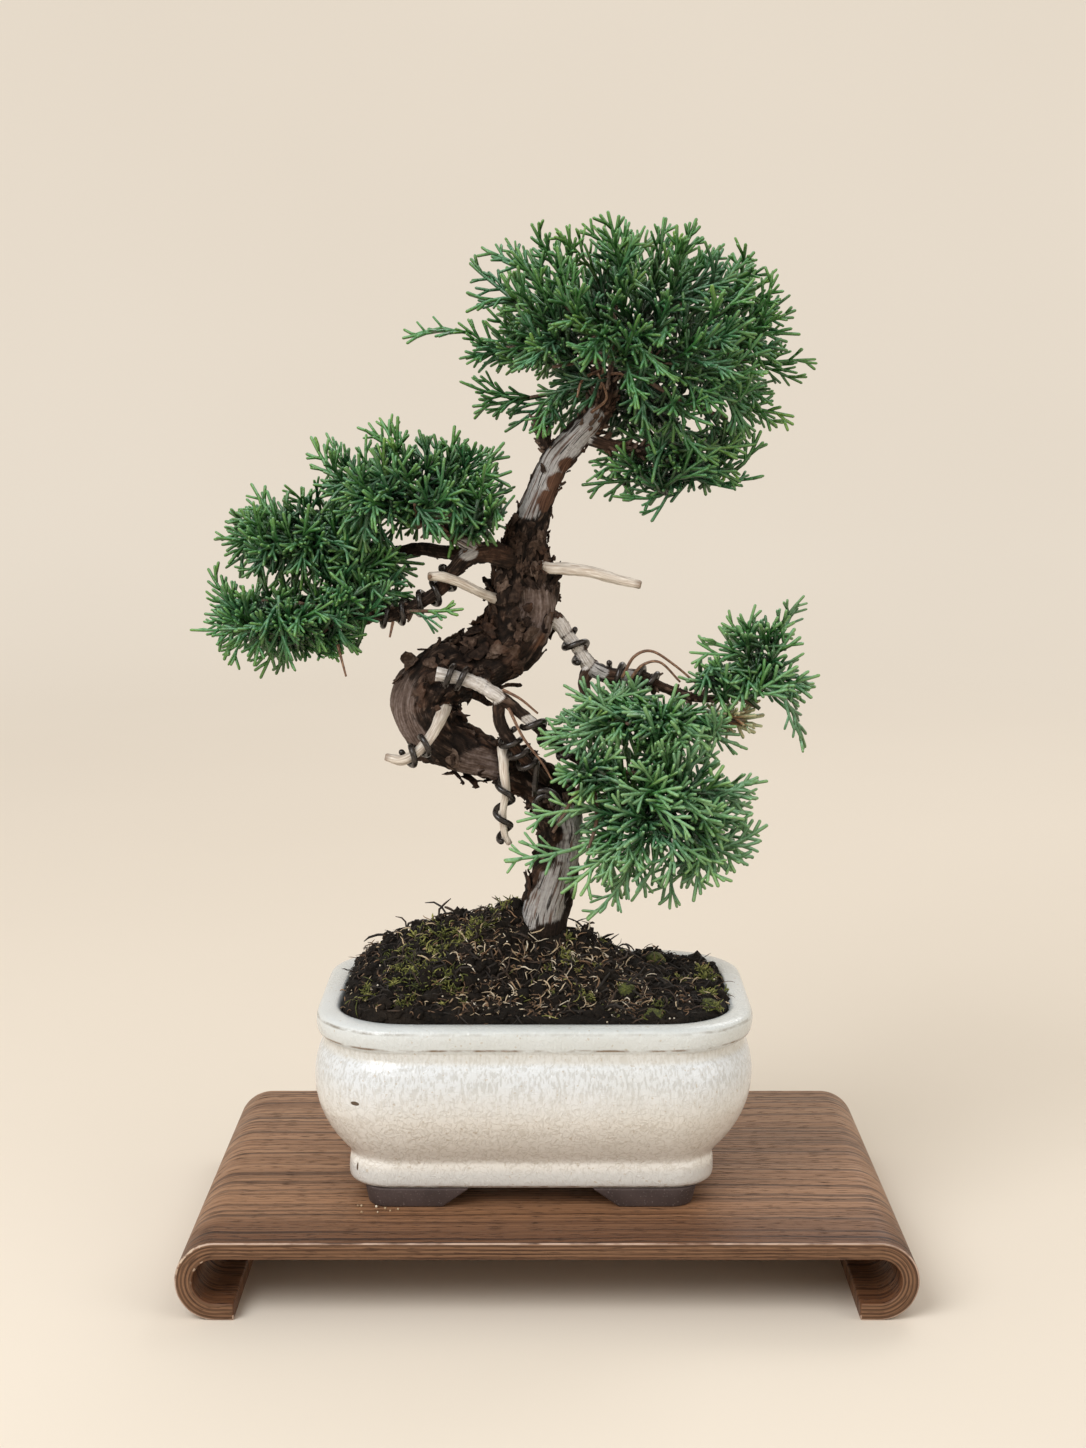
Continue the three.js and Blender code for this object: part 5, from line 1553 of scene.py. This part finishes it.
def hides_trunk(route):
    """Whether a spray would stand in front of the top of the trunk, which shows below the crown."""
    for x, y, z, radius in on_line(TRUNK, np.arange(18, 24.6, 0.5)):
        for spot in on_line(route, (1.5, 2, 2.5, 3)):
            if spot[1] < y and math.hypot(spot[0] - x, spot[2] - z) < radius + 3.5:
                return True
    return False


def spray_routes(tier, draw):
    """The route of every spray of a tier, from a twig or an earlier spray out to its tip."""
    limbs = [whole_line([tier["hub"], *route], 9) for route in tier["limbs"]]
    roots = [point for limb in limbs for point in limb[1:]]
    leans = [step for limb in limbs for step in np.diff(limb, axis=0)]
    twigs = np.array(roots)
    tips = spray_tips(tier, draw)
    tips.sort(key=lambda item: -1000 * item[2] + np.linalg.norm(twigs - item[0], axis=1).min())
    used, routes = [], []
    for tip, outward, reach in tips:
        outward = outward / max(1e-6, np.linalg.norm(outward))
        away = tip - np.array(roots)
        far = np.linalg.norm(away, axis=1)
        misfit = abs(far - 0.9 * reach) + 15 * (1 - away @ outward / far)
        if used:
            gaps = np.linalg.norm(np.array(roots)[:, None] - np.array(used)[None], axis=2)
            misfit += 1.2 * (gaps < 1.5).sum(axis=1)
        chosen = int(misfit.argmin())
        root, lean, length = roots[chosen], leans[chosen], far[chosen]
        used.append(root)
        leaving = 0.9 * away[chosen] / length + 0.35 * lean / np.linalg.norm(lean)
        leaving /= np.linalg.norm(leaving)
        first = root + leaving * 0.35 * length
        second = (first + tip) / 2 + leaving * 0.03 * length
        route = np.array([root, first, second, tip])
        if hides_trunk(route):
            continue
        routes.append((route, outward, reach))
        if reach == LONG:
            line = on_line(route, (0.6, 1, 1.4, 1.8, 2.2, 2.6))
            roots += list(line[1:])
            leans += list(np.diff(line, axis=0))
    return sorted(routes, key=lambda item: item[0][-1][1])


def dress_tier(tier, routes, woods, sprays, draw):
    clearance, girth_and_painted_light = 3, tier["girth_and_painted_light"]
    shape = bmesh.new()
    centres, halves = (np.array([mass[part] for mass in tier["masses"]])[:, None] for part in (0, 1))
    for route, outward, reach in routes:
        for index in (1, 2, 3):
            room, away = wood_near(route[index], woods)
            if room < clearance:
                route[index] += away * (clearance - room)
        length = np.linalg.norm(np.diff(route, axis=0), axis=1).sum()
        facing = np.array([draw.gauss(0, 0.5), -0.7 if outward[1] < 0.2 else 0.7, 0.45 + draw.gauss(0, 0.5)])
        mesh, points = draw.choice(sprays[reach])
        laid = bend_spray(points, reach, route, facing, girth_and_painted_light * min(1.15, max(0.85, length / reach)))
        mesh.vertices.foreach_set("co", laid.ravel())
        depth = np.linalg.norm((laid[None] - centres) / halves, axis=2).min(axis=0)
        set_all(mesh, "tone", draw.random())
        # How far out in its tier each point lies, which the leaves' material turns into painted shade deep
        # inside and, for the brighter tiers, into painted light
        set_all(mesh, "outer", np.clip(depth * girth_and_painted_light ** 2 / 0.6 - 0.5, 0, girth_and_painted_light ** 2))
        shape.from_mesh(mesh)
    return shape


def scale_leaves(name, tips, *stops):
    material, tree = start_material(name, {"Roughness": 0.36, "Specular IOR Level": 0.65})
    place = object_place(tree)
    tone, age, outer = (read_attribute(tree, label) for label in ("tone", "age", "outer"))
    mottle = place.patches(700, 0.3, 0.6, 3)
    color = (tone * 0.7 + place.patches(60, 0.3, 0.7, 3) * 0.3).ramp(*stops)
    color = mix(color, tips, age.between(0.75, 1) * 0.28)
    # Older parts are darker and bluish: partly their own colour, partly painted shade deep in each spray
    color = mix(color, (0.35, 0.38, 0.40), age.between(0.6, 0.1) * 0.6, "MULTIPLY")
    color = mix(color, (0.050, 0.032, 0.018), age.between(0.2, 0) * 0.6)
    upward = add_node(tree, "ShaderNodeNewGeometry", output="Normal").axis("Z")
    # Painted highlight: pale bluish green on the upward-facing sides of the cords
    color = mix(color, (0.23, 0.48, 0.29), upward.between(0.3, 0.9, 0, 0.8) * mottle)
    # Painted shade: the undersides of the cords are multiplied darker
    color = mix(color, (0.30, 0.36, 0.34), upward.between(0.15, -0.7, 0, 0.85), "MULTIPLY")
    # Painted shade deep inside each tier, where the leaves are also older and darker: the colour is
    # multiplied darker
    color = mix(color, (0.10, 0.14, 0.12), outer.between(0, 1, 1, 0) * 0.9, "MULTIPLY")
    # Painted light: the tiers whose outer values pass 1 are screened brighter
    color = mix(color, (0.28, 0.46, 0.24), outer.between(1, 2), "SCREEN")
    return finish_material(material, color, mottle, 0.0003, 0.6)


green_leaves = scale_leaves(
    "green_leaves", (0.24, 0.42, 0.06), (0, 0.013, 0.072, 0.018), (0.3, 0.025, 0.132, 0.039),
    (0.55, 0.040, 0.162, 0.025), (0.8, 0.070, 0.23, 0.054), (1, 0.18, 0.32, 0.031))
dead_leaves = scale_leaves(
    "dead_leaves", (0.55, 0.36, 0.2), (0, 0.17, 0.07, 0.035), (0.5, 0.34, 0.15, 0.07), (1, 0.50, 0.27, 0.13))
woods = plant_woods()
sprays = {}
for reach in (LONG, SHORT):
    seeds = range(reach, reach + SPRAY_KINDS)
    sprays[reach] = [keep_shape(grow_spray(random.Random(seed), reach)) for seed in seeds]
    for mesh, _ in sprays[reach]:
        mesh.attributes.new("outer", "FLOAT", "POINT")
for seed, (name, tier) in enumerate(TIERS.items()):
    dead = name == "foliage_dead"
    draw = random.Random(seed)
    routes = spray_routes(tier, draw)
    parts = math.ceil(len(routes) / SPRAYS_A_PIECE)
    for part in range(parts):
        few = routes[part * len(routes) // parts:(part + 1) * len(routes) // parts]
        shape = dress_tier(tier, few, woods, sprays, draw)
        piece = link_piece(f"{name}_sprays_{part + 1}", shape, dead_leaves if dead else green_leaves)
        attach(piece, "root")
        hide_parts(name)
for kind in sprays.values():
    drop_shapes(kind)


# The twigs that carry each tier's sprays, brown and thin, forking from the end of a branch.
def grow_twigs():
    twigs = bmesh.new()
    for tier in TIERS.values():
        for route in tier["limbs"]:
            line = whole_line([tier["hub"], *route], 12 * len(route) + 1)
            thick = 0.9 if tier["knot"] > 1.5 else 0.6
            grow_stem(twigs, line, np.linspace(thick, 0.55, len(line)), 6)
        bmesh.ops.create_icosphere(
            twigs, subdivisions=2, radius=tier["knot"] * 0.5, matrix=Matrix.Translation(tier["hub"]))
    return turn_outward(twigs)


twigs = link_piece("tier_twigs", grow_twigs(), bark_material)
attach(twigs, "root")
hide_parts(*TIERS)


# The loose twigs: dry, red-brown shoots without leaves, in front of the crown's middle, over
# the right branch, between the inner twig and the loop, and under the left tiers.
TWIGLETS = [
    [(18, -8, 300), (19.5, -14, 309), (22, -20, 320)], [(18, -9, 306), (12, -16, 303), (10, -18, 297)],
    [(18, -9, 304), (24, -15, 305), (28, -17, 303)], [(15, -9, 292), (20, -13, 297), (17, -16, 305)],
    [(26, -6, 201.5), (30, -8, 209), (36, -9, 211), (44, -8, 206), (52, -5, 199)],
    [(29, -5, 201), (33, -7, 206), (39, -8, 207), (46, -6, 200)],
    [(-13, -20, 193), (-8, -22, 183), (-2, -22, 175), (2, -21, 168)],
    [(-15, -19, 199), (-9, -20, 196), (-3, -20, 191)],
    [(-71, -16, 214), (-69.5, -18, 209), (-68, -19, 203.5)], [(-52, -18, 222), (-53, -20, 217)],
]


def bend_twiglets():
    twiglets = bmesh.new()
    twiglets.verts.layers.float_vector.new("grain")
    for points in TWIGLETS:
        line = whole_line(points, 6 * len(points))
        grow_stem(twiglets, line, np.linspace(0.6, 0.38, len(line)), 6)
    return turn_outward(twiglets)


def dry_twig():
    material, tree = start_material("dry_twig", {"Roughness": 0.6})
    grain = read_attribute(tree, "grain", "Vector").stretched((1, 1, 0.3)).patches(2.5, 0.3, 0.7, 4)
    color = grain.ramp((0, 0.045, 0.022, 0.014), (0.5, 0.14, 0.068, 0.038), (1, 0.36, 0.22, 0.13))
    return finish_material(material, color)


twiglets = link_piece("dry_twigs", bend_twiglets(), dry_twig())
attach(twiglets, "root")
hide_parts("tree_wood")
